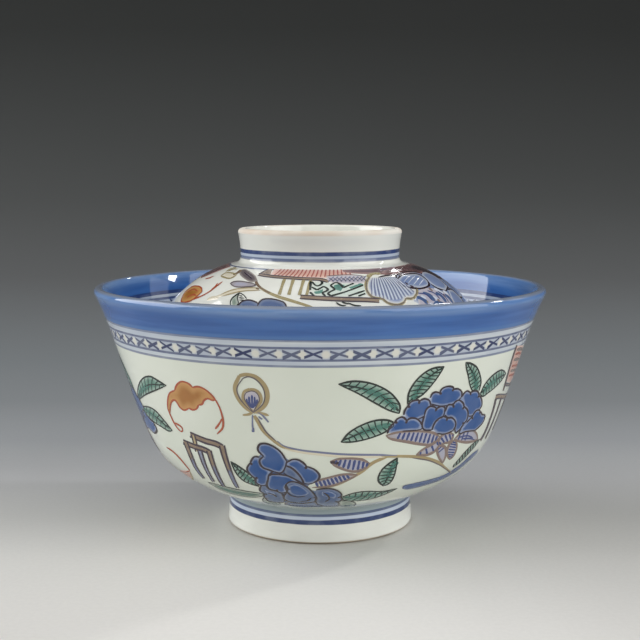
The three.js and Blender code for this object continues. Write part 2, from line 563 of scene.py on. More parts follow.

# %% [markdown]
# ## The porcelain of the bowl
# The blue follows the photograph: a broad band over the lip, two dark lines with the crosses between
# them, a paler line below, and two lines round the foot with a pale tint between. Inside, the band
# and the crosses come back, narrower. The land that the bowl stands on is wiped free of glaze, so it
# is matt and a little brown. Some colours also stand for light and shade: the lip is lighter, partly
# for thinner cobalt and partly as painted sheen, the pale strip between the foot lines is brighter as a
# painted reflection, the foot ring is whiter as painted light, and the underside above the foot and the
# inside strip below the band are darker as painted shade. Rings are given by height and turned into runs
# along the section.

# %% Colours and values of the porcelain
GLAZE_IOR = 1.56
GLAZE_ROUGHNESS = 0.03
BARE_ROUGHNESS = 0.55
BARE_EDGE = 0.5
ROW_HALF = 1.2
ROW_EDGE = 0.25
WASH_SHARE = 0.66
GRAIN_SHARE = 0.4
SWELL_STRENGTH = 0.25
GLAZE_SWELL = 0.0003
bowl_whites = (paint(223, 228, 217), paint(216, 222, 210))
lid_whites = (paint(231, 232, 225), paint(226, 227, 219))
# Whites of the foot ring, whiter than the bowl's: painted light
foot_whites_painted_light = (paint(238, 240, 234), paint(233, 235, 229))
cobalt_band = paint(62, 106, 172)
cobalt_band_deep = paint(46, 88, 154)
cobalt_fade = paint(72, 114, 172)
# Lighter blue round the lip: partly thinner cobalt there, partly painted sheen
lip_blue_and_sheen = paint(118, 148, 192)
lip_blue_and_sheen_deep = paint(88, 124, 178)
lip_thin = paint(126, 136, 154)
cobalt_line = paint(44, 64, 114)
cross_ink = paint(36, 48, 92)
cobalt_pale = paint(150, 166, 196)
rim_tint = paint(206, 213, 217)
strip_tint = paint(182, 192, 206)
row_cream = paint(216, 216, 208)
# Darker blue grey for the inside strip below the band: painted shade between lid and wall
inner_strip_shade = paint(136, 152, 182)
# Darker blue grey for the underside above the foot: painted shade
underside_shade = paint(158, 172, 178)
ring_tint = paint(172, 186, 208)
# Pale blue strip between the foot lines, brightened as a painted reflection
foot_strip_and_sheen = (paint(208, 218, 234), paint(192, 206, 228))
bare_clay = (paint(160, 142, 120), paint(190, 174, 150))
ring_clay = (paint(228, 224, 214), paint(216, 200, 182))
print("white of the bowl:", [round(part, 3) for part in bowl_whites[0]])


# %% Material of a glazed and painted piece
def glazed_porcelain(name, whites, bands, lines, crosses, bare, bare_colours):
    """Porcelain with cobalt bands, lines and crosses under its glaze, and bare clay on its land."""
    material, tree, shader = new_material(name)
    run = kept_value(tree, "run")
    place = object_place(tree)
    cloud = soft_step(tree, noise(tree, place, 30.0, 3.0), 0.35, 0.65)
    colour = mixed(tree, cloud, *whites)
    for first, last, soft, thin, deep in bands:
        band = use_group(tree, brushed_band, {"Run": run, "From": first, "To": last, "Soft": soft})
        brushed = mixed(tree, soft_step(tree, band["Streak"], 0.3, 0.7), thin, deep)
        colour = mixed(tree, band["Mask"], colour, brushed)
    for middle, count, pitch, reach in crosses:
        row = use_group(
            tree, cross_row, {"Run": run, "Middle": middle, "Count": count, "Pitch": pitch, "Reach": reach}
        )
        ends = {"From": middle - ROW_HALF, "To": middle + ROW_HALF, "Soft": ROW_EDGE}
        inside_row = use_group(tree, brushed_band, {"Run": run, **ends})
        wash = calc(tree, "MULTIPLY", row["Wash"], inside_row["Mask"])
        strokes = calc(tree, "MULTIPLY", row["Strokes"], inside_row["Mask"])
        colour = mixed(tree, calc(tree, "MULTIPLY", wash, WASH_SHARE), colour, cobalt_pale)
        colour = mixed(tree, strokes, colour, cross_ink)
    for at, width, strength in lines:
        line = use_group(tree, brushed_line, {"Run": run, "At": at, "Width": width})
        colour = mixed(tree, calc(tree, "MULTIPLY", line["Mask"], strength), colour, cobalt_line)
    first, last = bare
    land = use_group(tree, brushed_band, {"Run": run, "From": first, "To": last, "Soft": BARE_EDGE})
    grain = noise(tree, place, 1800.0, 3.0)
    patches = soft_step(tree, noise(tree, place, 50.0, 2.0), 0.42, 0.6)
    clay = mixed(tree, patches, *bare_colours)
    feed(tree, mixed(tree, land["Mask"], colour, clay), shader["Base Color"])
    shader["IOR"].default_value = GLAZE_IOR
    skin = use_group(tree, glaze_skin, {"Roughness": GLAZE_ROUGHNESS})
    roughness = calc(tree, "MULTIPLY_ADD", land["Mask"], BARE_ROUGHNESS, skin["Roughness"])
    feed(tree, roughness, shader["Roughness"])
    rough = calc(tree, "MULTIPLY", calc(tree, "MULTIPLY", land["Mask"], grain), GRAIN_SHARE)
    height = calc(tree, "ADD", skin["Height"], rough)
    swell = {"Strength": SWELL_STRENGTH, "Distance": GLAZE_SWELL, "Height": height}
    bump = add_node(tree, "Bump", swell)
    feed(tree, bump.outputs["Normal"], shader["Normal"])
    return material


# %% Porcelain of the bowl
first_outside = int(inside_well.sum())
# Points of the foot ring, counted along its section
neck_point = first_outside + 17
land_outer_point = first_outside + 18
land_inner_point = first_outside + 10
land_margin = 0.3


def outside_ring(height):
    """The run of a ring painted at a height on the outside of the bowl."""
    return run_at_height(bowl_section, bowl_run, height, neck_point, lip_top)


def inside_ring(height):
    """The run of a ring painted at a height on the inside of the bowl."""
    return run_at_height(bowl_section, bowl_run, height, lip_top, len(bowl_section))


rim_edge = outside_ring(54.75)
row_top = outside_ring(53.1)
row_foot = outside_ring(50.3)
row_middle = (row_top + row_foot) / 2
strip_foot = outside_ring(48.9)
inner_edge = inside_ring(57.0)
foot_land = (float(bowl_run[land_outer_point]), float(bowl_run[land_inner_point]) - land_margin)
neck_line = outside_ring(7.24)
foot_line = outside_ring(5.45)
inner_row_top = inner_edge - 1.7
inner_row_foot = inner_edge - 4.9
inner_row_middle = (inner_row_top + inner_row_foot) / 2
inner_foot = inner_edge - 6.9
bowl_bands = [
    (inner_edge, rim_edge, 0.15, cobalt_band, cobalt_band_deep),
    # Two bands lighten the blue round the lip: partly thinner cobalt, partly painted sheen
    (-0.5, 0.0, 4.5, lip_blue_and_sheen, lip_blue_and_sheen_deep),
    (-0.5, 1.9, 2.2, lip_blue_and_sheen, lip_blue_and_sheen_deep),
    (rim_edge - 0.7, rim_edge, 0.8, cobalt_fade, cobalt_fade),
    (-0.3, 0.8, 0.8, lip_thin, lip_thin),
    (rim_edge, strip_foot, 0.3, rim_tint, rim_tint),
    (rim_edge, row_top, 0.3, strip_tint, rim_tint),
    (row_foot, strip_foot, 0.3, strip_tint, rim_tint),
    (row_top, row_foot, 0.2, row_cream, row_cream),
    # Painted light: the foot ring is painted whiter than the rest of the bowl
    (outside_ring(5.2), foot_land[0], 0.6, *foot_whites_painted_light),
    # Painted shade: the underside above the foot line is painted darker and bluer
    (outside_ring(8.4), outside_ring(7.3), 2.2, underside_shade, underside_shade),
    # Pale blue strip between the foot lines: a real tint, painted brighter as a painted reflection
    (outside_ring(7.3), outside_ring(5.4), 0.3, *foot_strip_and_sheen),
    # Painted shade: the inside strip below the band is painted darker
    (inner_edge - 7.0, inner_edge, 0.3, inner_strip_shade, strip_tint),
]
bowl_lines = [
    (rim_edge, 0.45, 0.65),
    (row_top, 0.44, 0.85),
    (row_foot, 0.44, 0.85),
    (strip_foot, 0.45, 0.65),
    (neck_line, 0.5, 0.85),
    (foot_line, 1.0, 1.0),
    (inner_edge, 0.9, 1.0),
    (inner_row_top, 0.6, 0.95),
    (inner_row_foot, 0.6, 0.95),
    (inner_foot, 0.5, 0.7),
]
cross_count = 66
outer_row_radius = 54.2
inner_row_radius = 53.0
bowl_crosses = [
    (row_middle, cross_count, 2 * math.pi * outer_row_radius / cross_count, 1.9),
    (inner_row_middle, cross_count, 2 * math.pi * inner_row_radius / cross_count, 1.65),
]
bowl_porcelain = glazed_porcelain(
    "bowl_porcelain", bowl_whites, bowl_bands, bowl_lines, bowl_crosses, foot_land, bare_clay
)
bowl.data.materials.append(bowl_porcelain)
print("rim band ends", round(rim_edge, 2), "mm below the lip, foot land", foot_land)

# %% [markdown]
# ## The porcelain of the lid
# The lid is whiter than the bowl and has less blue: two lines round its ring with a tint between them,
# a thin line where the dome begins, and one more near its hidden edge. The land of the ring is bare
# and has turned pinkish in the kiln.


# %% Porcelain of the lid
def lid_ring_line(height):
    """The run of a line painted at a height on the outside of the lid or its ring."""
    return run_at_height(lid_section, lid_run, height, first_dome, ring_rim)


lid_lines = [
    (lid_ring_line(71.1), 0.85, 1.0),
    (lid_ring_line(69.5), 0.7, 0.7),
    (lid_ring_line(67.4), 0.5, 0.9),
    (lid_ring_line(46.2), 0.6, 0.9),
]
lid_bands = [(lid_ring_line(71.0), lid_ring_line(69.5), 0.3, strip_tint, ring_tint)]
ring_land = (0.4, 2.4)
lid_porcelain = glazed_porcelain(
    "lid_porcelain", lid_whites, lid_bands, lid_lines, [], ring_land, ring_clay
)
lid.data.materials.append(lid_porcelain)
print("lid lines at runs", [round(line[0], 2) for line in lid_lines])

# %% [markdown]
# ## Painting tools
# Enamel is coloured glass laid on the finished glaze with a brush. It has an edge that can be felt, so
# each colour is a thin film of its own. A motif is first drawn flat, in millimetres along and up the
# outside of the piece, by given points. Then the drawing is laid round the piece, as a transfer
# is. Outlines could be traced as grease pencil or curves; here brush lines are curves with a low
# bevel, because a bevel follows pressure, and washes are filled outlines.


# %% Lines through given points
def smooth_line(points, gap=0.35):
    """A smooth line through points, sampled about every gap. It closes where it ends at its start."""
    marks = [Vector(point) for point in points]
    closed = points[0] == points[-1]
    line = [marks[0]]
    for i in range(len(marks) - 1):
        start, end = marks[i], marks[i + 1]
        before = marks[i - 1] if i else (marks[-2] if closed else start)
        after = marks[i + 2] if i + 2 < len(marks) else (marks[1] if closed else end)
        reach = (end - start).length / 3
        leave = start + (end - before).normalized() * reach
        arrive = end - (after - start).normalized() * reach
        steps = max(2, math.ceil((end - start).length / gap) + 1)
        line += interpolate_bezier(start, leave, arrive, end, steps)[1:]
    return np.array([tuple(point) for point in line])


def chained(shape):
    """The brush strokes of a shape, each starting where the one before it ended."""
    strokes = [list(shape[0])]
    for stroke in shape[1:]:
        strokes.append([strokes[-1][-1], *stroke])
    return strokes


def outline(shape):
    """The closed outline of a shape, with a corner wherever two of its strokes meet."""
    strokes = chained(shape)
    if strokes[-1][-1] != shape[0][0]:
        strokes.append([strokes[-1][-1], shape[0][0]])
    return np.vstack([smooth_line(stroke)[:-1] for stroke in strokes])


def part_way(points, share):
    """The point at a share of the way along a smooth line."""
    line = smooth_line(points)
    run = run_along(line, 0)
    at = share * run[-1]
    return (float(np.interp(at, run, line[:, 0])), float(np.interp(at, run, line[:, 1])))


def inside(points, border):
    """Which points lie inside a closed outline."""
    x, y = points[:, 0, None], points[:, 1, None]
    following = np.roll(border, -1, axis=0)
    climb = following[:, 1] - border[:, 1]
    climb = np.where(np.abs(climb) < 1e-9, 1e-9, climb)
    crossed = (border[:, 1] > y) != (following[:, 1] > y)
    crossing = border[:, 0] + (y - border[:, 1]) * (following[:, 0] - border[:, 0]) / climb
    return (crossed & (x < crossing)).sum(axis=1) % 2 == 1


def edge_distance(points, border):
    """How far each point is from a closed outline."""
    step = np.roll(border, -1, axis=0) - border
    apart = points[:, None, :] - border
    share = np.clip((apart * step).sum(axis=2) / (step**2).sum(axis=1), 0.0, 1.0)
    return np.linalg.norm(apart - share[..., None] * step, axis=2).min(axis=1)


# %% The drawing board
class Board:
    """A flat drawing: brush marks in the order in which they were painted."""

    def __init__(self):
        self.washes = []
        self.lines = []

    def count(self):
        """What the drawing holds, in words."""
        return f"{len(self.washes)} washes and {len(self.lines)} brush lines"

    def wash(self, enamel, shape):
        """A closed shape filled with one enamel."""
        self.washes.append((enamel, outline(shape)))

    def line(self, enamel, points, width, ends=(0.35, 0.35)):
        """One brush line. Its ends are as thick as the given shares of its width."""
        self.lines.append((enamel, smooth_line(points), width, ends, len(self.washes)))

    def lines_in(self, enamel, rows, width, ends=(0.35, 0.35)):
        """Several brush lines of one enamel and width."""
        for points in rows:
            self.line(enamel, points, width, ends)

    def filled(self, enamel, line_enamel, shape, width, bare=()):
        """A wash with brush lines along its strokes, apart from the bare ones."""
        self.wash(enamel, shape)
        for i, stroke in enumerate(chained(shape)):
            if i not in bare:
                self.line(line_enamel, stroke, width, (0.55, 0.55))


# %% From the board to flat meshes
# Heights and sizes of the films in millimetres, and how a brush line tapers and wavers
WASH_STEP = 0.006
WASH_LIFT = 0.03
LINE_LIFT = 0.05
RIM = 0.3
SINK = 0.01
GRID = 0.75
RING_LEAST = 0.85
GRID_LEAST = 1.8
TUCK = 0.25
TAPER = 5
WAVER = 0.12
WAVES = 7
brush_hand = random.Random(11)

bpy.ops.curve.primitive_bezier_curve_add()
brush_section = bpy.context.object
brush_section.name = "brush_section"
brush_section.data.splines.clear()
arch = brush_section.data.splines.new("POLY")
arch_points = ((-1, -0.06), (-0.6, 0.03), (0, 0.05), (0.6, 0.03), (1, -0.06))
arch.points.add(len(arch_points) - 1)
for point, (across, up) in zip(arch.points, arch_points):
    point.co = (across, up, 0.0, 1.0)
print("brush section has", len(arch.points), "points")


def wash_film(border, lift):
    """A filled outline as points, triangles and depths from the edge. Its edge sinks into the glaze."""
    low, high = border.min(axis=0), border.max(axis=0)
    across, up = np.meshgrid(np.arange(low[0], high[0], GRID), np.arange(low[1], high[1], GRID))
    across[1::2] += GRID / 2
    grid = np.column_stack([across.ravel(), up.ravel()])
    following = np.roll(border, -1, axis=0)
    turning = np.sign((border[:, 0] * following[:, 1] - border[:, 1] * following[:, 0]).sum())
    ring = moved_left(border, turning * RIM, turning * RIM)
    filling = []
    for points, least in ((ring, RING_LEAST * RIM), (grid, GRID_LEAST * RIM)):
        points = points[inside(points, border)]
        filling.append(points[edge_distance(points, border) > least])
    flat = [Vector(point) for point in np.vstack([border, *filling])]
    points, _, faces, _, _, _ = delaunay_2d_cdt(flat, [], [list(range(len(border)))], 1, 1e-5)
    points = np.array([tuple(point) for point in points])
    depth = edge_distance(points, border)
    height = -SINK + (lift + SINK) * np.clip(depth / RIM, 0.0, 1.0)
    return np.column_stack([points, height]), faces, depth


def visible_runs(line, covers):
    """The stretches of a line that no later wash covers."""
    seen = np.ones(len(line), bool)
    for border in covers:
        seen &= ~(inside(line, border) & (edge_distance(line, border) > TUCK))
    breaks = np.flatnonzero(np.diff(seen.astype(int))) + 1
    stretches = np.split(np.arange(len(line)), breaks)
    return [line[stretch] for stretch in stretches if seen[stretch[0]] and len(stretch) > 1]


def brush_films(strokes):
    """Brush lines as one mesh: curves with the arch as their bevel, converted."""
    bpy.ops.object.select_all(action="DESELECT")
    bpy.ops.curve.primitive_bezier_curve_add()
    brushed = bpy.context.object
    brushed.data.splines.clear()
    brushed.data.bevel_mode = "OBJECT"
    brushed.data.bevel_object = brush_section
    for line, width, ends, lift in strokes:
        spline = brushed.data.splines.new("POLY")
        spline.points.add(len(line) - 1)
        phase = brush_hand.uniform(0.0, 6.0)
        for i, (point, at) in enumerate(zip(spline.points, line)):
            share = i / (len(line) - 1)
            grown = min(1.0, ends[0] + share * TAPER, ends[1] + (1 - share) * TAPER)
            point.co = (at[0], at[1], lift, 1.0)
            point.radius = width / 2 * grown * (1 + WAVER * math.sin(phase + WAVES * share))
    bpy.ops.object.convert(target="MESH")
    mesh = bpy.context.object.data
    points = np.array([tuple(vertex.co) for vertex in mesh.vertices])
    faces = [face.vertices[:] if face.normal.z > 0 else face.vertices[::-1] for face in mesh.polygons]
    bpy.ops.object.delete()
    return points, faces, np.ones(len(points))


def flat_films(board):
    """The drawing as flat meshes, one list for each enamel."""
    films = {}
    for order, (enamel, border) in enumerate(board.washes):
        films.setdefault(enamel, []).append(wash_film(border, WASH_LIFT + order * WASH_STEP))
    strokes = {}
    for enamel, line, width, ends, order in board.lines:
        later = [border for _, border in board.washes[order:]]
        lift = WASH_LIFT + order * WASH_STEP + LINE_LIFT * max(0.0, 1.0 - width)
        for run in visible_runs(line, later):
            strokes.setdefault(enamel, []).append((run, width, ends, lift))
    for enamel, found in strokes.items():
        films.setdefault(enamel, []).append(brush_films(found))
    return films


# %% Laying a drawing round a piece
class Outside:
    """The outside of a piece as a sheet that a drawing is laid on."""

    def __init__(self, body, section):
        self.body = body
        self.run = run_along(section, 0)
        self.section = section
        direction = directions(section)
        self.facing = np.column_stack([direction[:, 1], -direction[:, 0]])
        self.films = {}

    def at(self, values, up):
        """A column of values of the section, read at heights along it."""
        return np.interp(up, self.run, values)

    def lay(self, board_films, turn=0.0, along=0.0, up=0.0):
        """Lays flat films on the piece, turned round its axis and moved along or up the sheet."""
        for enamel, films in board_films.items():
            for flat, faces, depth in films:
                rise = flat[:, 1] + up
                radius = self.at(self.section[:, 0], rise)
                angle = math.radians(turn) + (flat[:, 0] + along) / radius
                reach = radius + flat[:, 2] * self.at(self.facing[:, 0], rise)
                height = self.at(self.section[:, 1], rise) + flat[:, 2] * self.at(self.facing[:, 1], rise)
                points = np.column_stack([reach * np.sin(angle), -reach * np.cos(angle), height]) * MM
                self.films.setdefault(enamel, []).append((points, faces, depth))

    def made(self):
        """Makes one mesh piece for each enamel, riding on the body."""
        for enamel, films in self.films.items():
            points = []
            faces = []
            depths = []
            for some, some_faces, depth in films:
                faces += [[i + len(points) for i in face] for face in some_faces]
                points += some.tolist()
                depths += depth.tolist()
            mesh = bpy.data.meshes.new(self.body + "_" + enamel)
            mesh.from_pydata(points, [], faces)
            kept = mesh.attributes.new("depth", "FLOAT", "POINT")
            kept.data.foreach_set("value", depths)
            mesh.shade_smooth()
            piece = bpy.data.objects.new(mesh.name, mesh)
            scene.collection.objects.link(piece)
            mesh.materials.append(enamels[enamel])
            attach(piece, self.body)
            print(piece.name, "has", len(faces), "faces")


# %% [markdown]
# ## The enamels
# A wash of enamel is deep in its middle and pale at its rim, where the brush left little colour, and
# it pools in clouds. The mesh keeps each point's depth from the edge, so one group can turn any two
# colours into such a wash. Brush lines are plain by comparison: one colour that thins and thickens.

# %% Group: a wash of enamel
enamel_wash, entry, leave = new_group(
    "enamel_wash",
    [("Thin", "Color"), ("Deep", "Color"), ("From", "Float"), ("To", "Float")],
    [("Color", "Color"), ("Height", "Float")],
)
place = object_place(enamel_wash)
pools = noise(enamel_wash, place, 420.0, 3.0)
shift = calc(enamel_wash, "MULTIPLY_ADD", pools, 0.5, -0.25)
depth = calc(enamel_wash, "ADD", kept_value(enamel_wash, "depth"), shift)
filled = soft_step(enamel_wash, depth, entry["From"], entry["To"])
pooled = soft_step(enamel_wash, noise(enamel_wash, place, 160.0, 2.0), 0.3, 0.7, 0.86, 1.0)
feed(
    enamel_wash,
    mixed(enamel_wash, calc(enamel_wash, "MULTIPLY", filled, pooled), entry["Thin"], entry["Deep"]),
    leave["Color"],
)
feed(enamel_wash, pools, leave["Height"])

# %% Enamel materials
ENAMEL_IOR = 1.6
BRUSHED = (0.3, 1.3)
POOL_SHARE = 0.3
ENAMEL_SWELL = 0.0002


def enamel(name, thin, deep, reach=(0.1, 1.0), metal=0.0, roughness=0.12):
    """An enamel whose colour goes from thin to deep over a distance from its edge."""
    material, tree, shader = new_material(name)
    wash = use_group(
        tree, enamel_wash, {"Thin": paint(*thin), "Deep": paint(*deep), "From": reach[0], "To": reach[1]}
    )
    feed(tree, wash["Color"], shader["Base Color"])
    skin = use_group(tree, glaze_skin, {"Roughness": roughness})
    feed(tree, skin["Roughness"], shader["Roughness"])
    height = calc(tree, "MULTIPLY_ADD", wash["Height"], POOL_SHARE, skin["Height"])
    swell = {"Strength": SWELL_STRENGTH, "Distance": ENAMEL_SWELL, "Height": height}
    bump = add_node(tree, "Bump", swell)
    feed(tree, bump.outputs["Normal"], shader["Normal"])
    shader["Metallic"].default_value = metal
    shader["IOR"].default_value = ENAMEL_IOR
    return material


recipes = {
    "petal_blue": ((150, 162, 190), (8, 72, 138), (0.12, 0.82)),
    "leaf_green": ((156, 180, 168), (102, 142, 128), (0.1, 1.2)),
    "sepal_lilac": ((166, 160, 164), (170, 170, 188), (0.2, 0.9)),
    "bat_amber": ((196, 148, 90), (158, 102, 40), (0.0, 2.4)),
    "salmon": ((222, 192, 180), (210, 164, 148), (0.1, 1.5)),
    "cream": ((222, 217, 202), (216, 208, 186), (0.1, 1.0)),
    "shell_blue": ((216, 216, 214), (128, 146, 186), (0.3, 1.5)),
    "fret_mint": ((214, 221, 212), (202, 215, 205), (0.1, 1.2)),
    "petal_grey": ((114, 128, 156), (68, 92, 136), (0.2, 1.2)),
    "roof_red": ((182, 110, 98), (156, 84, 74), BRUSHED),
    "cloud_purple": ((146, 112, 110), (96, 70, 72), (0.1, 1.4)),
    "olive_gold": ((184, 174, 138), (158, 146, 106), (0.0, 1.0), 0.1, 0.25),
    "ground_green": ((168, 178, 166), (104, 124, 112), (0.1, 1.2)),
    "bar_blue": ((110, 128, 166), (62, 88, 138), (0.1, 0.8)),
    "plum_line": ((72, 58, 64), (46, 36, 44), BRUSHED),
    "leaf_line": ((44, 56, 50), (22, 32, 28), BRUSHED),
    "leaf_vein": ((34, 60, 54), (16, 38, 32), BRUSHED),
    "leaf_deep": ((90, 138, 126), (58, 110, 98), BRUSHED),
    "iron_red": ((188, 104, 74), (162, 76, 50), BRUSHED),
    "gold": ((182, 166, 128), (156, 138, 98), BRUSHED, 0.1, 0.28),
    "cobalt_stroke": ((80, 92, 138), (52, 66, 120), BRUSHED),
    "branch_grey": ((138, 144, 166), (104, 112, 142), BRUSHED),
    "book_brown": ((148, 129, 110), (118, 99, 82), BRUSHED, 0.1, 0.22),
    "sepal_brown": ((152, 134, 122), (124, 106, 100), BRUSHED),
    "petal_pale": ((188, 194, 206), (116, 135, 175), (0.2, 1.4)),
    # White enamel of the shell's ribs and rays, also used for painted highlights on the right petals
    "shell_white_and_sheen": ((216, 220, 228), (202, 210, 224), BRUSHED),
    "mist_lilac": ((202, 196, 198), (184, 180, 192), (0.1, 0.9)),
    "smoke_grey": ((152, 144, 140), (98, 90, 94), (0.1, 1.0)),
    "book_line": ((86, 72, 84), (56, 46, 60), BRUSHED),
}
enamels = {name: enamel(name, *recipe) for name, recipe in recipes.items()}
print(len(enamels), "enamels mixed")

# %% [markdown]
# ## Motif tools
# Some things come back all over the bowl: veined leaves, hatched sepals, lobed petals and lines with
# two edges. Each has its own tool, and the motifs below only say where their points lie.

# %% Motif tools
CLEFT = 0.8


def leaf(board, left, right, rib, veins=8, slant=0.05):
    """A veined leaf. Both edges and the rib run from the base to the tip, and the veins cross the rib."""
    board.wash("leaf_green", [left, right[::-1][1:]])
    board.line("leaf_deep", [part_way(rib, share) for share in (0.04, 0.35, 0.7)], 1.7, (0.8, 0.1))
    for i in range(veins):
        share = (i + 0.8) / (veins + 0.8)
        start = part_way(left, min(0.98, max(0.03, share + slant)))
        end = part_way(right, min(0.98, max(0.03, share - slant)))
        board.line("leaf_vein", [start, part_way(rib, share), end], 0.3, (0.5, 0.9))
    board.line("leaf_vein", rib, 0.42, (0.8, 0.4))
    board.line("leaf_line", left, 0.48, (0.6, 0.5))
    board.line("leaf_line", right, 0.4, (0.6, 0.5))


def hatched(board, upper, lower, strokes, first=0.12, last=0.88, width=0.6, lean=0.04):
    """A lilac sepal between two edges, with leaning blue strokes across it and a brown outline."""
    board.wash("sepal_lilac", [upper, lower[::-1][1:]])
    for share in np.linspace(first, last, strokes):
        top = np.array(part_way(upper, share + lean))
        foot = np.array(part_way(lower, share))
        inner = [tuple(top + (foot - top) * depth) for depth in (0.12, 0.5, 0.88)]
        board.line("cobalt_stroke", inner, width, (0.6, 0.5))
    board.line("sepal_brown", upper, 0.7)
    board.line("sepal_brown", lower, 0.8)


def petals(board, ground, backing, shapes, width=0.5):
    """Lobed petals on a ground, back ones first. The base of each petal has a thinner outline."""
    board.wash(ground, backing)
    for enamel_name, shape, thin in shapes:
        board.wash(enamel_name, shape)
        for i, stroke in enumerate(chained(shape)):
            board.line("plum_line", stroke, 0.7 * width if i in thin else width, (0.55, 0.55))
        middle = outline(shape).mean(axis=0)
        for i, stroke in enumerate(shape[:-1]):
            if i not in thin and i + 1 not in thin:
                cleft = np.array(stroke[-1])
                inward = (middle - cleft) / np.linalg.norm(middle - cleft)
                notch = [tuple(cleft), tuple(cleft + CLEFT * inward)]
                board.line("plum_line", notch, 1.3 * width, (0.9, 0.3))


def edged(board, points, width, enamel="book_brown", edge="book_line", edge_width=0.4, taper=1.0):
    """A broad brown stroke with a dark line along both of its edges, which may taper to its end."""
    middle = smooth_line(points)
    sides = [moved_left(middle, reach, taper * reach) for reach in (width / 2, -width / 2)]
    board.washes.append((enamel, np.vstack([sides[0], sides[1][::-1]])))
    for side in (1, -1):
        reach = side * (width - edge_width) / 2
        moved = moved_left(middle, reach, taper * reach)
        board.lines.append((edge, moved, edge_width, (0.8, 0.6), len(board.washes)))


# %% [markdown]
# ## The painting on the bowl: the large peony
# The largest motif is a peony at the right of the view. Its petals were outlined in dark plum, filled
# with a blue that is palest along the outline, and set on hatched lilac sepals. Each petal could be a
# curve traced over a picture. It is written as strokes between given points instead, because every
# stroke is then a brush line, and the closed shape is its wash. Petals at the back come first.

# %% Sepals of the large peony
high_peony = Board()
hatched(
    high_peony,
    [(15.0, 34.8), (18.0, 35.4), (23.0, 35.2), (27.0, 34.3), (29.8, 32.6)],
    [(15.0, 34.8), (16.0, 33.9), (20.0, 32.7), (25.0, 31.2), (27.0, 31.0), (29.8, 32.6)],
    strokes=10,
    first=0.2,
)
hatched(
    high_peony,
    [(23.0, 28.6), (25.0, 30.0), (28.0, 31.2), (30.5, 33.2)],
    [(23.0, 28.6), (26.5, 28.2), (29.0, 29.4), (30.5, 33.2)],
    strokes=5,
)
hatched(
    high_peony,
    [(29.6, 30.2), (29.3, 31.6), (30.2, 33.0), (32.0, 33.4), (34.2, 32.6)],
    [(29.6, 30.2), (31.2, 30.6), (33.2, 30.8), (34.2, 32.6)],
    strokes=5,
)
hatched(
    high_peony,
    [(34.8, 31.0), (35.9, 29.0), (35.5, 26.6), (33.9, 25.2)],
    [(34.8, 31.0), (33.0, 30.0), (32.5, 27.6), (33.9, 25.2)],
    strokes=7,
    first=0.15,
    last=0.8,
    width=0.42,
)
hatched(
    high_peony,
    [(29.4, 30.2), (29.2, 28.6), (30.1, 26.5), (31.6, 24.6)],
    [(29.4, 30.2), (31.6, 29.4), (32.2, 27.0), (31.6, 24.6)],
    strokes=2,
    first=0.15,
    last=0.3,
    width=0.4,
)
print("sepals:", high_peony.count())

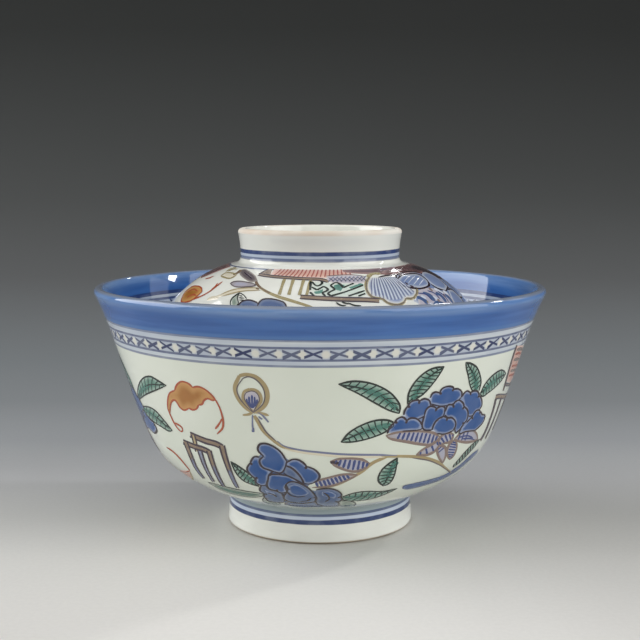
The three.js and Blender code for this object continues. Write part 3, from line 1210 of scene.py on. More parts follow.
# %% Petals of the large peony
petals(
    high_peony,
    "petal_pale",
    [
        [(16.0, 36.0), (19.5, 40.4), (23.5, 42.6), (27.0, 44.2), (32.0, 44.6), (36.5, 43.2), (41.0, 42.4)],
        [(43.0, 38.4), (45.6, 35.4), (43.0, 32.9), (36.0, 33.0), (28.0, 34.2), (20.0, 36.0)],
    ],
    [
        ("petal_blue", [
            [(25.8, 43.6), (26.3, 44.6), (27.2, 44.9), (28.3, 44.6)],
            [(29.0, 45.6), (30.5, 46.0), (32.0, 45.7), (32.6, 45.1)],
            [(34.0, 44.9), (35.2, 43.9), (35.2, 42.6)],
            [(33.5, 41.4), (31.0, 41.0), (28.5, 41.2), (26.0, 42.0)],
        ], (3,)),
        ("petal_blue", [
            [(19.2, 39.8), (19.3, 40.8), (20.0, 42.0)],
            [(20.8, 43.0), (22.3, 43.4), (23.0, 43.1)],
            [(24.3, 43.5), (25.6, 42.9), (26.0, 41.8)],
            [(25.7, 40.6), (24.7, 39.0)],
            [(22.0, 38.2), (20.2, 38.6)],
        ], (3, 4)),
        ("petal_blue", [
            [(15.3, 35.3), (15.8, 36.8), (17.0, 38.2)],
            [(17.7, 39.0), (18.9, 39.3), (20.0, 38.3)],
            [(20.8, 38.8), (22.3, 38.6), (23.5, 37.6), (24.1, 36.5)],
            [(23.9, 35.6), (19.0, 35.6)],
        ], (3,)),
        ("petal_blue", [
            [(35.3, 42.6), (36.0, 43.5), (37.0, 44.0), (38.2, 43.4)],
            [(39.5, 43.6), (41.0, 43.3), (42.0, 42.0)],
            [(43.2, 40.8), (43.8, 39.0), (43.0, 38.0)],
            [(41.5, 37.8), (40.3, 36.8), (38.4, 37.2), (37.6, 39.1), (36.6, 40.0), (36.0, 41.2)],
        ], (3,)),
        ("petal_blue", [
            [(38.3, 35.2), (39.5, 36.0), (40.3, 36.4)],
            [(41.0, 37.6), (42.5, 38.0), (43.7, 37.3)],
            [(44.8, 36.3), (46.3, 35.8), (46.8, 35.0)],
            [(46.2, 33.8), (44.5, 32.8), (42.5, 32.1)],
            [(38.5, 32.6), (36.0, 32.6), (36.6, 33.8)],
        ], (4,)),
        ("petal_blue", [
            [(24.5, 39.2), (24.9, 40.6), (26.0, 41.4), (27.3, 41.0), (27.8, 40.6)],
            [(29.0, 41.0), (30.2, 40.5), (30.3, 39.3)],
            [(29.8, 38.2), (27.8, 37.0), (26.8, 35.0)],
            [(25.0, 35.2), (24.2, 36.0), (24.1, 37.3), (24.5, 39.2)],
        ], (2,)),
        ("petal_blue", [
            [(30.5, 39.6), (31.0, 41.0), (32.0, 41.1), (32.7, 40.8)],
            [(33.3, 41.6), (34.5, 41.9), (36.0, 40.9), (36.6, 39.8)],
            [(37.8, 38.9), (38.4, 37.5), (38.2, 36.0), (37.2, 35.0)],
            [(36.0, 33.7), (34.6, 32.8)],
            [(34.2, 34.0), (34.0, 36.3), (32.6, 37.6), (31.3, 37.8), (30.4, 38.6)],
        ], (4,)),
        ("petal_blue", [
            [(27.0, 35.0), (27.3, 36.3), (28.3, 37.6), (30.0, 38.2), (31.3, 37.6)],
            [(32.8, 37.4), (34.0, 36.3), (34.3, 35.0), (33.6, 33.8)],
            [(31.0, 33.3), (28.5, 33.8)],
        ], (2,)),
    ],
)
print("large peony:", high_peony.count())

# %% [markdown]
# ## Leaves of the large peony
# A leaf has two dark edges, a rib and veins over a wash of grey green that is deeper along the rib. All
# of it follows from three lines, so a leaf is given by its two edges and its rib alone. Below the leaves
# a blue bar crosses the foot of the wall, with a narrow green strip above it.

# %% Leaves of the large peony
crown_leaves = Board()
leaf(
    crown_leaves,
    [
        (18.0, 40.3), (18.2, 41.8), (17.7, 43.2), (15.8, 45.6), (13.0, 47.5), (10.0, 48.6), (7.0, 48.9),
        (4.0, 48.3),
    ],
    [(18.0, 40.3), (15.5, 41.3), (12.0, 43.5), (8.5, 45.8), (4.0, 48.3)],
    [(17.7, 41.0), (16.0, 43.0), (13.0, 45.4), (9.5, 47.0), (4.5, 48.2)],
    veins=9,
    slant=-0.06,
)
leaf(
    crown_leaves,
    [(20.0, 42.5), (20.2, 45.3), (21.5, 47.8), (23.5, 49.8), (26.0, 51.0), (29.1, 51.2)],
    [(22.0, 43.6), (23.7, 44.6), (25.5, 46.3), (27.5, 48.7), (29.1, 51.2)],
    [(21.0, 43.2), (22.5, 45.8), (24.3, 48.2), (26.5, 49.8), (28.6, 51.0)],
    veins=9,
    slant=-0.06,
)
leaf(
    crown_leaves,
    [(41.6, 43.4), (41.9, 45.5), (41.0, 47.8), (39.5, 49.8), (37.5, 51.0), (35.5, 51.6)],
    [(39.3, 43.5), (38.5, 44.3), (37.5, 46.0), (36.8, 48.0), (36.0, 49.8), (35.5, 51.6)],
    [(40.6, 43.4), (40.0, 45.6), (38.8, 47.8), (37.4, 49.6), (35.9, 51.3)],
    veins=8,
)
right_leaf = Board()
hatched(
    right_leaf,
    [(34.4, 31.2), (37.0, 32.6), (41.0, 32.7), (44.0, 30.8), (45.6, 28.7)],
    [(34.4, 31.2), (37.0, 30.0), (41.0, 29.0), (45.6, 28.7)],
    strokes=3,
    first=0.15,
    last=0.4,
)
right_leaf.lines_in(
    "cobalt_stroke",
    [[(36.0, 31.4), (39.5, 31.2), (42.5, 29.9)], [(37.5, 30.7), (40.5, 30.2), (43.5, 29.2)]],
    0.45,
)
leaf(
    right_leaf,
    [(42.2, 42.5), (44.0, 45.0), (47.0, 46.8), (50.5, 47.5), (53.0, 46.8), (54.5, 45.9)],
    [(42.2, 42.5), (43.5, 41.5), (46.0, 42.1), (49.0, 43.0), (52.0, 44.2), (54.5, 45.9)],
    [(42.6, 42.6), (45.5, 44.0), (49.0, 45.2), (54.0, 45.9)],
    veins=9,
    slant=-0.05,
)
low_left_leaf = (
    [(16.8, 37.2), (16.5, 38.2), (14.5, 38.9), (12.0, 38.8), (9.0, 37.7), (6.5, 36.0), (4.7, 33.6)],
    [(16.8, 37.2), (14.5, 35.6), (11.0, 34.3), (7.5, 33.6), (4.7, 33.6)],
    [(16.5, 37.6), (13.0, 37.0), (9.0, 35.8), (5.0, 33.9)],
)
leaf(crown_leaves, *low_left_leaf, veins=8)
print("leaves:", crown_leaves.count(), "and", right_leaf.count())

# %% Bar below the large peony
low_bar = Board()
strip_upper = [(36.0, 22.6), (38.0, 24.6), (40.5, 26.6), (44.0, 28.3), (47.0, 28.6)]
strip_lower = [(36.4, 21.8), (39.0, 23.2), (42.0, 25.2), (45.0, 26.9), (47.0, 28.6)]
low_bar.wash("leaf_green", [strip_upper, strip_lower[::-1][1:]])
for share in np.linspace(0.04, 0.92, 10):
    low_bar.line(
        "leaf_line", [part_way(strip_upper, share), part_way(strip_lower, share - 0.04)], 0.7, (0.9, 0.7),
    )
low_bar.lines_in("leaf_line", [strip_upper, strip_lower], 0.34)
low_bar.filled(
    "bar_blue",
    "cobalt_stroke",
    [
        [(20.4, 17.0), (20.5, 18.3), (22.0, 18.8)],
        [(28.0, 19.0), (34.0, 19.6), (39.0, 21.6), (44.0, 24.2), (48.0, 25.0)],
        [(48.5, 23.2)],
        [(44.0, 21.6), (39.0, 19.0), (34.0, 17.2), (28.0, 16.5), (22.0, 16.2), (20.4, 17.0)],
    ],
    0.3,
)
print("bar:", low_bar.count())

# %% [markdown]
# ## Branch and jewel
# A thin gold branch runs from a jewel at the left to the large peony, with a grey line along its upper
# side. The jewel is a double ring of gold round a lilac drop, over a knot with hanging threads. Both
# sides of a ring start at its tip and end at its foot, so one loop draws all the rings.

# %% Branch
branch = Board()
branch.line(
    "cream",
    [(-9.6, 33.0), (-8.0, 31.9), (-4.5, 31.0), (0.0, 30.4), (5.0, 29.8), (13.0, 29.2), (17.0, 28.9)],
    0.8,
)
branch.line(
    "branch_grey",
    [(-9.6, 33.7), (-8.0, 32.4), (-4.5, 31.5), (0.0, 30.9), (5.0, 30.3), (13.0, 29.7), (18.0, 29.1)],
    0.6,
)
branch.lines_in(
    "gold",
    [
        [(-14.8, 40.0), (-14.0, 38.5), (-12.8, 36.2), (-10.5, 33.8), (-8.4, 32.2), (-5.0, 31.2)],
        [(13.0, 29.3), (20.0, 28.6), (25.0, 27.5), (30.0, 25.2), (33.0, 22.5), (36.5, 19.6)],
        [(15.5, 29.0), (12.0, 27.5), (9.5, 25.2), (7.0, 23.3), (3.5, 21.0), (-0.5, 20.0)],
    ],
    0.85,
    (0.7, 0.3),
)
branch.lines_in(
    "smoke_grey",
    [
        [(-14.0, 39.4), (-13.2, 37.8), (-12.0, 35.8), (-9.8, 33.6)],
        [(22.0, 27.9), (27.0, 26.3), (31.4, 23.6), (36.3, 19.4)],
    ],
    0.34,
)
hatched(
    branch,
    [(2.3, 28.5), (5.0, 29.2), (9.0, 28.9), (11.5, 27.4)],
    [(2.3, 28.5), (4.0, 26.9), (7.5, 25.4), (10.0, 26.0), (11.5, 27.4)],
    strokes=8,
)
hatched(
    branch,
    [(8.6, 24.4), (5.0, 24.6), (1.0, 23.4), (-1.8, 22.2)],
    [(8.6, 24.4), (5.5, 22.3), (2.0, 20.7), (-1.8, 20.2)],
    strokes=9,
    first=0.2,
)
branch.line("plum_line", [(2.3, 28.4), (3.2, 28.1), (4.6, 27.8)], 1.1, (0.4, 0.2))
print("branch:", branch.count())

# %% Jewel
branch.wash(
    "mist_lilac",
    [
        [
            (-15.3, 46.6), (-17.2, 45.6), (-16.9, 43.2), (-15.2, 41.4), (-13.5, 43.2), (-13.3, 45.6),
            (-15.3, 46.6),
        ],
    ],
)
branch.lines_in(
    "cobalt_stroke",
    [
        [(-15.2, 41.9), (-15.2, 43.5), (-15.2, 45.2)],
        [(-15.4, 42.0), (-15.8, 43.3), (-15.9, 44.8)],
        [(-15.0, 42.0), (-14.6, 43.3), (-14.6, 44.8)],
        [(-15.6, 42.3), (-16.3, 43.3), (-16.5, 44.2)],
        [(-14.8, 42.3), (-14.1, 43.3), (-14.0, 44.2)],
    ],
    0.5,
    (0.9, 0.4),
)
branch.lines_in(
    "branch_grey",
    [
        [(-15.2, 40.2), (-15.3, 37.8), (-15.2, 35.8)],
        [(-14.0, 40.9), (-13.0, 40.3), (-11.5, 38.5)],
        [(-13.8, 39.9), (-13.3, 39.4), (-12.9, 39.2)],
    ],
    0.42,
    (0.4, 0.9),
)
branch.line("cobalt_stroke", [(-15.2, 37.0), (-15.2, 35.7)], 0.65, (0.3, 0.9))
jewel_foot = (-15.0, 40.8)
for enamel_name, width, tip, left, right in (
    (
        "gold", 0.95, (-18.0, 49.8),
        [(-19.2, 46.8), (-18.5, 44.0), (-16.8, 41.8)],
        [(-16.2, 50.2), (-14.0, 49.6), (-12.2, 47.6), (-11.6, 45.4), (-12.0, 43.2), (-13.2, 41.7)],
    ),
    (
        "gold", 0.7, (-15.6, 46.6),
        [(-17.0, 45.9), (-17.4, 44.3), (-16.6, 42.5)],
        [(-14.4, 46.5), (-13.4, 45.6), (-13.1, 44.0), (-13.8, 42.5)],
    ),
    (
        "smoke_grey", 0.3, (-17.2, 49.2),
        [(-18.7, 46.6), (-18.1, 44.2), (-16.4, 42.0)],
        [(-15.9, 49.7), (-14.2, 49.1), (-12.7, 47.3), (-12.2, 45.2), (-12.6, 43.3), (-13.6, 42.0)],
    ),
    (
        "smoke_grey", 0.26, (-15.4, 46.2),
        [(-16.6, 45.6), (-17.0, 44.3), (-16.2, 42.6)],
        [(-14.6, 46.1), (-13.8, 45.4), (-13.5, 44.0), (-14.1, 42.7)],
    ),
):
    branch.lines_in(enamel_name, [[tip, *left, jewel_foot], [tip, *right, jewel_foot]], width, (0.9, 0.9))
branch.lines_in(
    "gold",
    [[(-17.6, 39.9), (-15.9, 40.3), (-14.9, 41.2)], [(-15.2, 40.9), (-13.2, 40.7), (-11.4, 40.2)]],
    0.6,
)
print("branch and jewel:", branch.count())

# %% [markdown]
# ## Peony by the foot
# The second peony lies where the wall curves under, and its blue turns greyer towards the foot. It is
# drawn with the same tools, back petals first. Its deep folds are small washes of the brighter blue, and
# the curls inside the petals are free brush lines.

# %% Leaves of the peony by the foot
low_peony = Board()
leaf(
    low_peony,
    [(-14.5, 19.4), (-15.5, 22.6), (-18.5, 25.3), (-21.3, 27.0)],
    [(-14.5, 19.4), (-18.0, 20.9), (-20.0, 23.5), (-21.3, 27.0)],
    [(-14.8, 19.8), (-17.5, 22.8), (-21.0, 26.6)],
    veins=8,
    slant=0.05,
)
low_peony.filled(
    "ground_green",
    "leaf_line",
    [
        [(-29.6, 17.4), (-25.0, 17.1), (-20.0, 16.6), (-13.6, 16.2)],
        [(-13.8, 14.6), (-17.0, 12.7), (-22.0, 12.5), (-26.0, 14.0), (-29.6, 17.4)],
    ],
    0.34,
)
low_peony.lines_in(
    "leaf_deep",
    [[(-27.5, 16.6), (-22.0, 14.8), (-15.0, 15.0)], [(-26.0, 15.2), (-21.0, 13.7), (-16.0, 13.8)]],
    0.6,
)
leaf(
    low_peony,
    [(4.8, 15.4), (8.0, 17.4), (11.0, 17.8), (15.0, 17.1), (18.8, 17.6)],
    [(4.8, 15.4), (6.0, 13.2), (8.5, 12.6), (11.0, 12.7), (14.0, 14.0), (18.8, 17.6)],
    [(5.4, 15.2), (9.0, 15.2), (13.0, 15.9), (18.0, 17.3)],
    veins=8,
    slant=0.08,
)
leaf(
    low_peony,
    [(18.1, 28.4), (16.0, 27.0), (14.4, 25.4), (13.6, 23.2), (13.8, 21.4), (15.0, 19.6)],
    [(18.1, 28.4), (17.9, 25.6), (17.4, 22.6), (16.4, 20.4), (15.0, 19.6)],
    [(17.9, 27.8), (16.6, 25.0), (15.8, 22.4), (15.1, 20.0)],
    veins=8,
    slant=0.06,
)
low_peony.filled(
    "ground_green",
    "leaf_line",
    [[(-13.6, 13.6), (-14.0, 11.0), (-13.2, 8.4)], [(-11.0, 7.6), (-9.6, 9.2), (-10.6, 12.6)]],
    0.34,
    (2,),
)
low_peony.filled(
    "ground_green",
    "leaf_line",
    [[(4.6, 13.4), (7.2, 12.6), (8.5, 10.2), (8.2, 7.6)], [(6.0, 7.2), (4.6, 9.0)]],
    0.34,
    (2,),
)
print("leaves by the foot:", low_peony.count())

# %% Petals of the peony by the foot
petals(
    low_peony,
    "petal_grey",
    [
        [(-12.6, 31.6), (-9.4, 30.4), (-6.0, 28.0), (-2.6, 26.0), (-1.6, 23.0), (-2.6, 19.6), (2.6, 18.8)],
        [(4.0, 14.0), (3.6, 9.0), (-3.0, 8.0), (-8.0, 10.6), (-12.4, 12.6), (-13.6, 18.4)],
        [(-14.4, 21.6), (-16.2, 24.8), (-14.6, 28.4)],
    ],
    [
        ("petal_grey", [
            [(-7.8, 11.6), (-8.3, 9.6), (-6.8, 8.1)],
            [(-4.0, 7.3), (-1.6, 7.8)],
            [(0.6, 8.4), (0.4, 10.6), (-1.4, 12.8)],
            [(-4.0, 11.4)],
        ], (3,)),
        ("petal_blue", [
            [(-13.9, 29.1), (-15.2, 29.0), (-16.2, 27.3)],
            [(-17.0, 25.8), (-17.0, 24.8), (-16.0, 23.3), (-15.0, 22.4)],
            [(-15.1, 21.0), (-13.8, 20.0)],
            [(-12.6, 20.4), (-12.1, 22.0), (-11.8, 24.0), (-10.8, 25.2)],
            [(-11.8, 25.6), (-13.2, 26.3), (-13.9, 28.0)],
        ], (3, 4)),
        ("petal_blue", [
            [(-7.6, 28.0), (-6.2, 28.9), (-5.0, 28.9), (-3.8, 28.1), (-3.0, 27.1)],
            [(-1.2, 26.2), (-0.1, 24.5), (-0.5, 23.0), (-1.5, 22.0)],
            [(-2.6, 21.6), (-3.7, 21.8)],
            [(-4.0, 23.0), (-5.0, 25.0), (-6.5, 26.6), (-8.0, 27.2)],
        ], (2,)),
        ("petal_grey", [
            [(-8.0, 27.2), (-6.5, 26.6), (-5.0, 25.0), (-4.0, 23.0), (-3.7, 21.6)],
            [(-5.2, 22.8), (-7.0, 23.9), (-8.3, 25.0)],
        ], (1,)),
        ("petal_blue", [
            [
                (-12.9, 29.4), (-14.0, 30.6), (-14.2, 31.5), (-13.5, 32.7), (-11.5, 32.7), (-9.0, 31.0),
                (-7.5, 28.4),
            ],
            [(-7.9, 26.6), (-8.9, 25.0), (-10.5, 25.2)],
            [(-11.5, 25.6), (-13.2, 26.3), (-13.9, 28.0), (-12.9, 29.4)],
        ], (1,)),
        ("petal_blue", [
            [(-11.8, 23.8), (-10.9, 24.4), (-7.5, 24.2), (-5.5, 23.0), (-3.6, 21.3)],
            [(-5.0, 21.4), (-7.2, 21.4), (-7.9, 20.0), (-7.6, 18.0)],
            [(-9.0, 17.4), (-10.2, 18.3)],
            [(-11.8, 18.9), (-12.4, 20.5), (-12.1, 22.2), (-11.8, 23.8)],
        ], (1,)),
        ("petal_grey", [
            [(-13.8, 20.0), (-14.2, 18.8), (-14.2, 17.5), (-13.2, 16.3)],
            [(-13.4, 14.8), (-13.1, 13.2)],
            [(-12.5, 11.6), (-10.5, 10.8), (-8.5, 11.6)],
            [(-8.4, 14.0), (-8.9, 17.2)],
            [(-10.2, 18.1), (-11.8, 18.7), (-12.6, 20.0)],
        ], (3, 4)),
        ("petal_grey", [
            [(-0.9, 19.4), (0.6, 19.8), (2.5, 19.8), (4.2, 18.7), (5.0, 17.0), (4.8, 15.8)],
            [(5.1, 14.0), (4.2, 12.6)],
            [(4.5, 11.0), (4.6, 9.2)],
            [(3.4, 8.1), (1.0, 8.8), (-0.8, 11.0)],
            [(-1.0, 13.5), (-0.8, 15.5), (-1.2, 17.0)],
        ], (4,)),
        ("petal_grey", [
            [
                (-7.9, 21.2), (-6.9, 22.2), (-5.5, 22.2), (-3.5, 21.0), (-2.0, 19.0), (-1.2, 17.0),
                (-0.8, 15.5),
            ],
            [(-1.2, 13.2), (-2.5, 12.0)],
            [(-4.5, 11.4), (-6.8, 11.8)],
            [(-8.2, 13.5), (-8.5, 15.5), (-7.8, 17.8)],
            [(-7.5, 19.4), (-7.9, 21.2)],
        ], ()),
    ],
)
print("petals by the foot:", low_peony.count())

# %% Folds of the peony by the foot
for shape in (
    [
        [(-7.4, 20.8), (-5.6, 21.6), (-3.6, 20.2), (-2.2, 18.0)],
        [(-3.2, 16.6), (-5.4, 16.2), (-7.2, 17.8), (-7.4, 20.8)],
    ],
    [[(-13.4, 18.8), (-12.0, 18.0), (-10.6, 17.4)], [(-10.4, 16.0), (-12.4, 16.2), (-13.4, 18.8)]],
    [[(0.2, 18.8), (2.4, 18.8), (4.0, 17.2)], [(3.4, 14.8), (2.2, 15.6), (0.4, 16.6), (0.2, 18.8)]],
):
    low_peony.wash("petal_blue", shape)
low_peony.lines_in(
    "plum_line",
    [
        [(-7.7, 21.2), (-8.0, 20.0), (-7.4, 19.4), (-6.7, 19.6)],
        [(-7.4, 17.6), (-6.6, 16.4), (-5.0, 15.8), (-3.4, 16.4)],
        [(-4.6, 13.0), (-3.0, 13.6), (-2.1, 15.4)],
        [(0.7, 18.4), (1.8, 16.8), (2.1, 14.8), (1.2, 13.0)],
        [(-12.4, 17.0), (-11.0, 16.4), (-10.2, 15.0)],
    ],
    0.44,
)
print("peony by the foot:", low_peony.count())

# %% [markdown]
# ## Bat and books
# A bat in amber with iron-red ribbons is an old sign of good luck, and books in their wrappers stand
# below it. The bat is one outline of six strokes. The books are broad brown strokes with dark edges,
# and one tool draws such a stroke from its middle line.

# %% Bat
bat = Board()
bat_back = [(-39.9, 38.9), (-39.3, 41.4), (-38.3, 43.2), (-36.4, 44.2)]
bat_head = [(-35.5, 45.7), (-34.2, 46.7), (-33.0, 46.9), (-31.5, 46.5), (-30.5, 45.7)]
bat_wing = [(-29.0, 46.1), (-27.2, 45.7), (-25.5, 44.5), (-24.3, 43.2)]
bat_scallops = [
    [(-25.2, 43.0), (-26.4, 43.3), (-27.5, 42.7), (-28.1, 41.7), (-29.2, 41.3)],
    [(-29.8, 40.3), (-31.0, 39.8), (-32.2, 40.1)],
    [
        (-33.0, 39.6), (-34.0, 39.3), (-35.2, 39.9), (-36.0, 41.0), (-36.8, 41.6), (-38.0, 40.9),
        (-38.8, 39.2), (-39.1, 37.8),
    ],
]
bat.filled("bat_amber", "iron_red", [bat_back, bat_head, bat_wing, *bat_scallops], 0.5)
bat.lines_in(
    "iron_red",
    [
        [(-24.3, 43.2), (-23.4, 41.4), (-22.8, 39.3), (-22.6, 37.6), (-23.0, 35.8), (-24.5, 34.2)],
        [(-22.9, 38.4), (-23.8, 36.9), (-24.9, 35.5)],
        [(-39.9, 38.9), (-39.0, 36.8), (-38.1, 35.1), (-37.0, 33.8), (-36.0, 33.1)],
        [(-36.0, 33.1), (-35.3, 33.4), (-35.4, 34.3), (-36.6, 34.9), (-37.9, 35.2)],
    ],
    0.52,
    (0.8, 0.5),
)
print("bat:", bat.count())

# %% Books
books = Board()
for points, width, enamel_name, edge_width, taper in (
    ([(-32.8, 32.8), (-28.0, 31.8), (-25.0, 31.4), (-23.3, 30.7)], 1.8, "book_brown", 0.5, 1.0),
    (
        [(-23.4, 31.2), (-22.8, 28.0), (-21.8, 24.0), (-20.9, 20.4), (-20.2, 17.4)],
        1.9, "book_brown", 0.5, 0.5,
    ),
    ([(-31.8, 33.0), (-31.4, 30.6), (-31.0, 28.2)], 1.5, "gold", 0.45, 1.0),
    ([(-35.6, 30.2), (-32.0, 29.6), (-29.0, 29.3), (-27.0, 28.7)], 1.7, "book_brown", 0.5, 1.0),
    ([(-34.8, 30.4), (-33.4, 26.0), (-32.2, 22.2), (-30.6, 18.8)], 1.9, "book_brown", 0.5, 0.55),
    ([(-30.2, 28.8), (-29.4, 25.4), (-28.4, 21.8), (-27.4, 18.2)], 1.7, "branch_grey", 0.45, 0.55),
    ([(-27.3, 29.2), (-26.6, 26.0), (-25.6, 22.0), (-24.3, 16.8)], 1.8, "book_brown", 0.5, 0.55),
):
    edged(books, points, width, enamel_name, edge_width=edge_width, taper=taper)
books.lines_in(
    "branch_grey",
    [
        [(-22.0, 24.6), (-20.9, 20.4), (-20.3, 17.8)],
        [(-33.4, 26.0), (-32.2, 22.2), (-30.8, 19.2)],
        [(-26.4, 25.2), (-25.6, 22.0), (-24.4, 17.2)],
    ],
    0.9,
    (0.05, 0.5),
)
print("books:", books.count())

# %% [markdown]
# ## What begins at the sides
# At both sides of the view other motifs begin: leaves and a ribbon at the left, a red panel and a low
# table at the right. They are drawn as far as the photograph shows them, and a little further round.

# %% Left side
left_edge = Board()
leaf(
    left_edge,
    [
        (-57.0, 37.7), (-55.0, 41.0), (-52.5, 43.4), (-50.0, 45.1), (-47.5, 46.2), (-45.0, 46.6),
        (-42.5, 46.0), (-39.2, 45.1),
    ],
    [(-57.0, 37.7), (-53.0, 39.5), (-49.0, 41.2), (-45.0, 42.7), (-42.0, 43.9), (-39.2, 45.1)],
    [(-56.0, 38.8), (-51.0, 42.0), (-46.5, 44.2), (-40.0, 45.1)],
    veins=9,
    slant=0.06,
)
leaf(
    left_edge,
    [(-58.0, 35.8), (-53.0, 36.9), (-49.0, 37.5), (-45.5, 37.0), (-42.5, 35.1), (-39.3, 32.7)],
    [(-58.0, 35.8), (-53.0, 34.6), (-48.0, 33.4), (-44.0, 32.8), (-41.0, 32.3), (-39.3, 32.7)],
    [(-57.0, 35.8), (-51.0, 35.9), (-46.0, 35.2), (-40.2, 32.9)],
    veins=8,
    slant=0.05,
)
left_edge.wash(
    "salmon",
    [
        [(-35.5, 20.9), (-35.4, 18.2), (-36.5, 15.5), (-39.5, 12.8), (-43.0, 11.4), (-47.0, 11.0)],
        [(-48.5, 13.2), (-45.5, 16.0), (-41.0, 18.8)],
    ],
)
left_edge.line(
    "iron_red", [(-44.0, 26.7), (-41.0, 26.1), (-38.5, 24.6), (-36.8, 22.8), (-35.5, 20.8)], 0.75,
    (0.4, 0.8),
)
left_edge.line(
    "olive_gold", [(-35.6, 20.6), (-36.3, 16.8), (-39.0, 13.6), (-43.0, 11.8), (-48.0, 11.2)], 0.8,
)
left_edge.line("iron_red", [(-35.7, 20.6), (-38.4, 18.9), (-41.6, 18.2)], 0.5)
print("left side:", left_edge.count())

# %% Right side
right_edge = Board()
right_edge.wash(
    "salmon",
    [
        [(57.8, 53.0), (62.0, 52.6), (68.0, 51.6)], [(68.0, 42.0)], [(62.0, 42.0), (56.2, 43.4)],
        [(56.7, 47.5), (57.8, 53.0)],
    ],
)
edged(right_edge, [(58.0, 53.2), (57.0, 50.0), (56.4, 46.0), (55.9, 40.8)], 1.3, edge_width=0.5)
right_edge.lines_in(
    "iron_red",
    [
        [(58.6, 50.6), (62.0, 50.4), (66.0, 49.6)], [(58.2, 47.4), (62.0, 46.9), (66.0, 46.4)],
        [(57.6, 44.8), (66.0, 43.8)],
    ],
    0.6,
)
right_edge.lines_in(
    "sepal_brown",
    [
        [(59.0, 51.9), (63.0, 51.4), (67.0, 50.8)],
        [(58.5, 49.1), (62.0, 48.7), (66.0, 48.1)],
        [(58.0, 46.1), (62.0, 45.6), (66.0, 45.1)],
    ],
    1.1,
)
edged(right_edge, [(56.4, 42.6), (61.0, 41.6), (67.0, 40.8)], 1.0)
edged(right_edge, [(50.8, 39.9), (53.0, 39.8), (57.0, 39.0), (62.0, 38.0), (68.0, 37.2)], 1.6)
for leg in (
    [(51.4, 39.6), (51.3, 36.4), (50.4, 32.6), (49.4, 30.0), (47.6, 27.9)],
    [(55.7, 38.6), (55.2, 35.4), (54.0, 31.8), (52.6, 29.2), (51.4, 27.6)],
    [(62.4, 38.0), (62.0, 34.4), (61.0, 31.0), (59.6, 28.0)],
    [(66.6, 37.4), (66.2, 34.0), (65.2, 30.6), (63.8, 27.6)],
):
    edged(right_edge, leg, 1.5, edge_width=0.7)
print("right side:", right_edge.count())

# %% [markdown]
# ## Laying the painting on the bowl
# Each drawing becomes films once. The front is laid as it was drawn. The photograph does not show the
# back, so it carries the same motifs again, turned by about a third of the way round each time and set
# a little lower, as a painter would repeat them.

# %% Painting the bowl
sheet_foot = underside_at(24.0)
above_foot = bowl_outside[len(foot_ring) - 1 :]
bowl_sheet = Outside("bowl", np.vstack([[sheet_foot], above_foot]))
bowl_boards = {
    "high_peony": high_peony,
    "crown_leaves": crown_leaves,
    "right_leaf": right_leaf,
    "low_bar": low_bar,
    "branch": branch,
    "low_peony": low_peony,
    "bat": bat,
    "books": books,
    "left_edge": left_edge,
    "right_edge": right_edge,
}
films = {name: flat_films(board) for name, board in bowl_boards.items()}
for board_films in films.values():
    bowl_sheet.lay(board_films)
for name in ("high_peony", "crown_leaves", "branch", "low_peony", "bat", "books"):
    bowl_sheet.lay(films[name], turn=-116.0, up=-2.5)
for name in ("high_peony", "crown_leaves", "right_leaf", "low_bar", "branch", "low_peony"):
    bowl_sheet.lay(films[name], turn=121.0, up=-0.8)
bowl_sheet.made()

# %% [markdown]
# ## The painting on the lid
# The lid is painted more densely than the bowl. A pavilion with a striped roof and a key-fret screen
# stands in the middle, a shell and blue petals grow over it from the right, and a sprig, a bat and dark
# clouds fill the left. The part below the bowl's lip can't be seen in the photograph, so there the
# large peony, the bat and the leaves of the bowl are used again. The other half repeats the first.

# %% Pavilion
pavilion = Board()
pavilion.wash(
    "salmon",
    [
        [(-12.5, 31.2), (-11.6, 35.3)],
        [(-4.0, 35.5), (5.5, 35.3)],
        [(8.8, 31.4)],
        [(3.0, 30.5), (-4.0, 30.6), (-12.5, 31.2)],
    ],
)
for i in range(19):
    foot = -11.6 + 1.06 * i
    lean = 2.0 - 0.14 * i
    foot_height = 31.0 if foot < 4 else 31.5
    pavilion.line(
        "roof_red", [(foot, foot_height), (foot + 0.6 * lean, 33.0), (foot + lean, 35.2)], 0.32, (0.9, 0.7),
    )
pavilion.wash("book_brown", [[(-15.7, 31.6), (-13.2, 35.0)], [(-11.9, 35.3)], [(-12.3, 31.0)]])
pavilion.line("book_line", [(-15.7, 31.6), (-13.2, 35.0)], 0.3)
edged(
    pavilion, [(-15.7, 31.6), (-12.0, 30.9), (-8.0, 30.5), (-4.0, 30.1), (0.0, 29.8), (2.2, 28.7)], 1.5,
    edge_width=0.45,
)
for top, foot in ((-8.5, -9.6), (-6.3, -7.3), (-3.8, -4.8), (-2.1, -3.1)):
    pavilion.line("olive_gold", [(top, 29.8), ((top + foot) / 2, 26.6), (foot, 23.6)], 0.75, (0.9, 0.9))
pavilion.filled(
    "mist_lilac",
    "smoke_grey",
    [
        [(1.4, 31.4), (4.0, 31.8), (8.0, 31.9), (11.2, 30.8)],
        [(11.0, 28.3), (7.0, 27.8), (3.0, 28.3), (1.5, 29.4)],
    ],
    0.3,
    (1, 2),
)
for i in range(9):
    foot = 1.9 + 1.0 * i
    pavilion.line("branch_grey", [(foot, 28.7), (foot + 0.7, 29.9), (foot + 1.4, 31.2)], 0.3)
    pavilion.line("book_line", [(foot + 0.1, 30.6), (foot + 0.8, 29.7), (foot + 1.3, 28.6)], 0.2)
pavilion.wash(
    "cloud_purple",
    [[(5.2, 35.3), (5.6, 33.6), (8.2, 32.6)], [(12.0, 32.0), (16.4, 31.4)], [(20.0, 33.8), (22.0, 35.5)]],
)
print("pavilion:", pavilion.count())

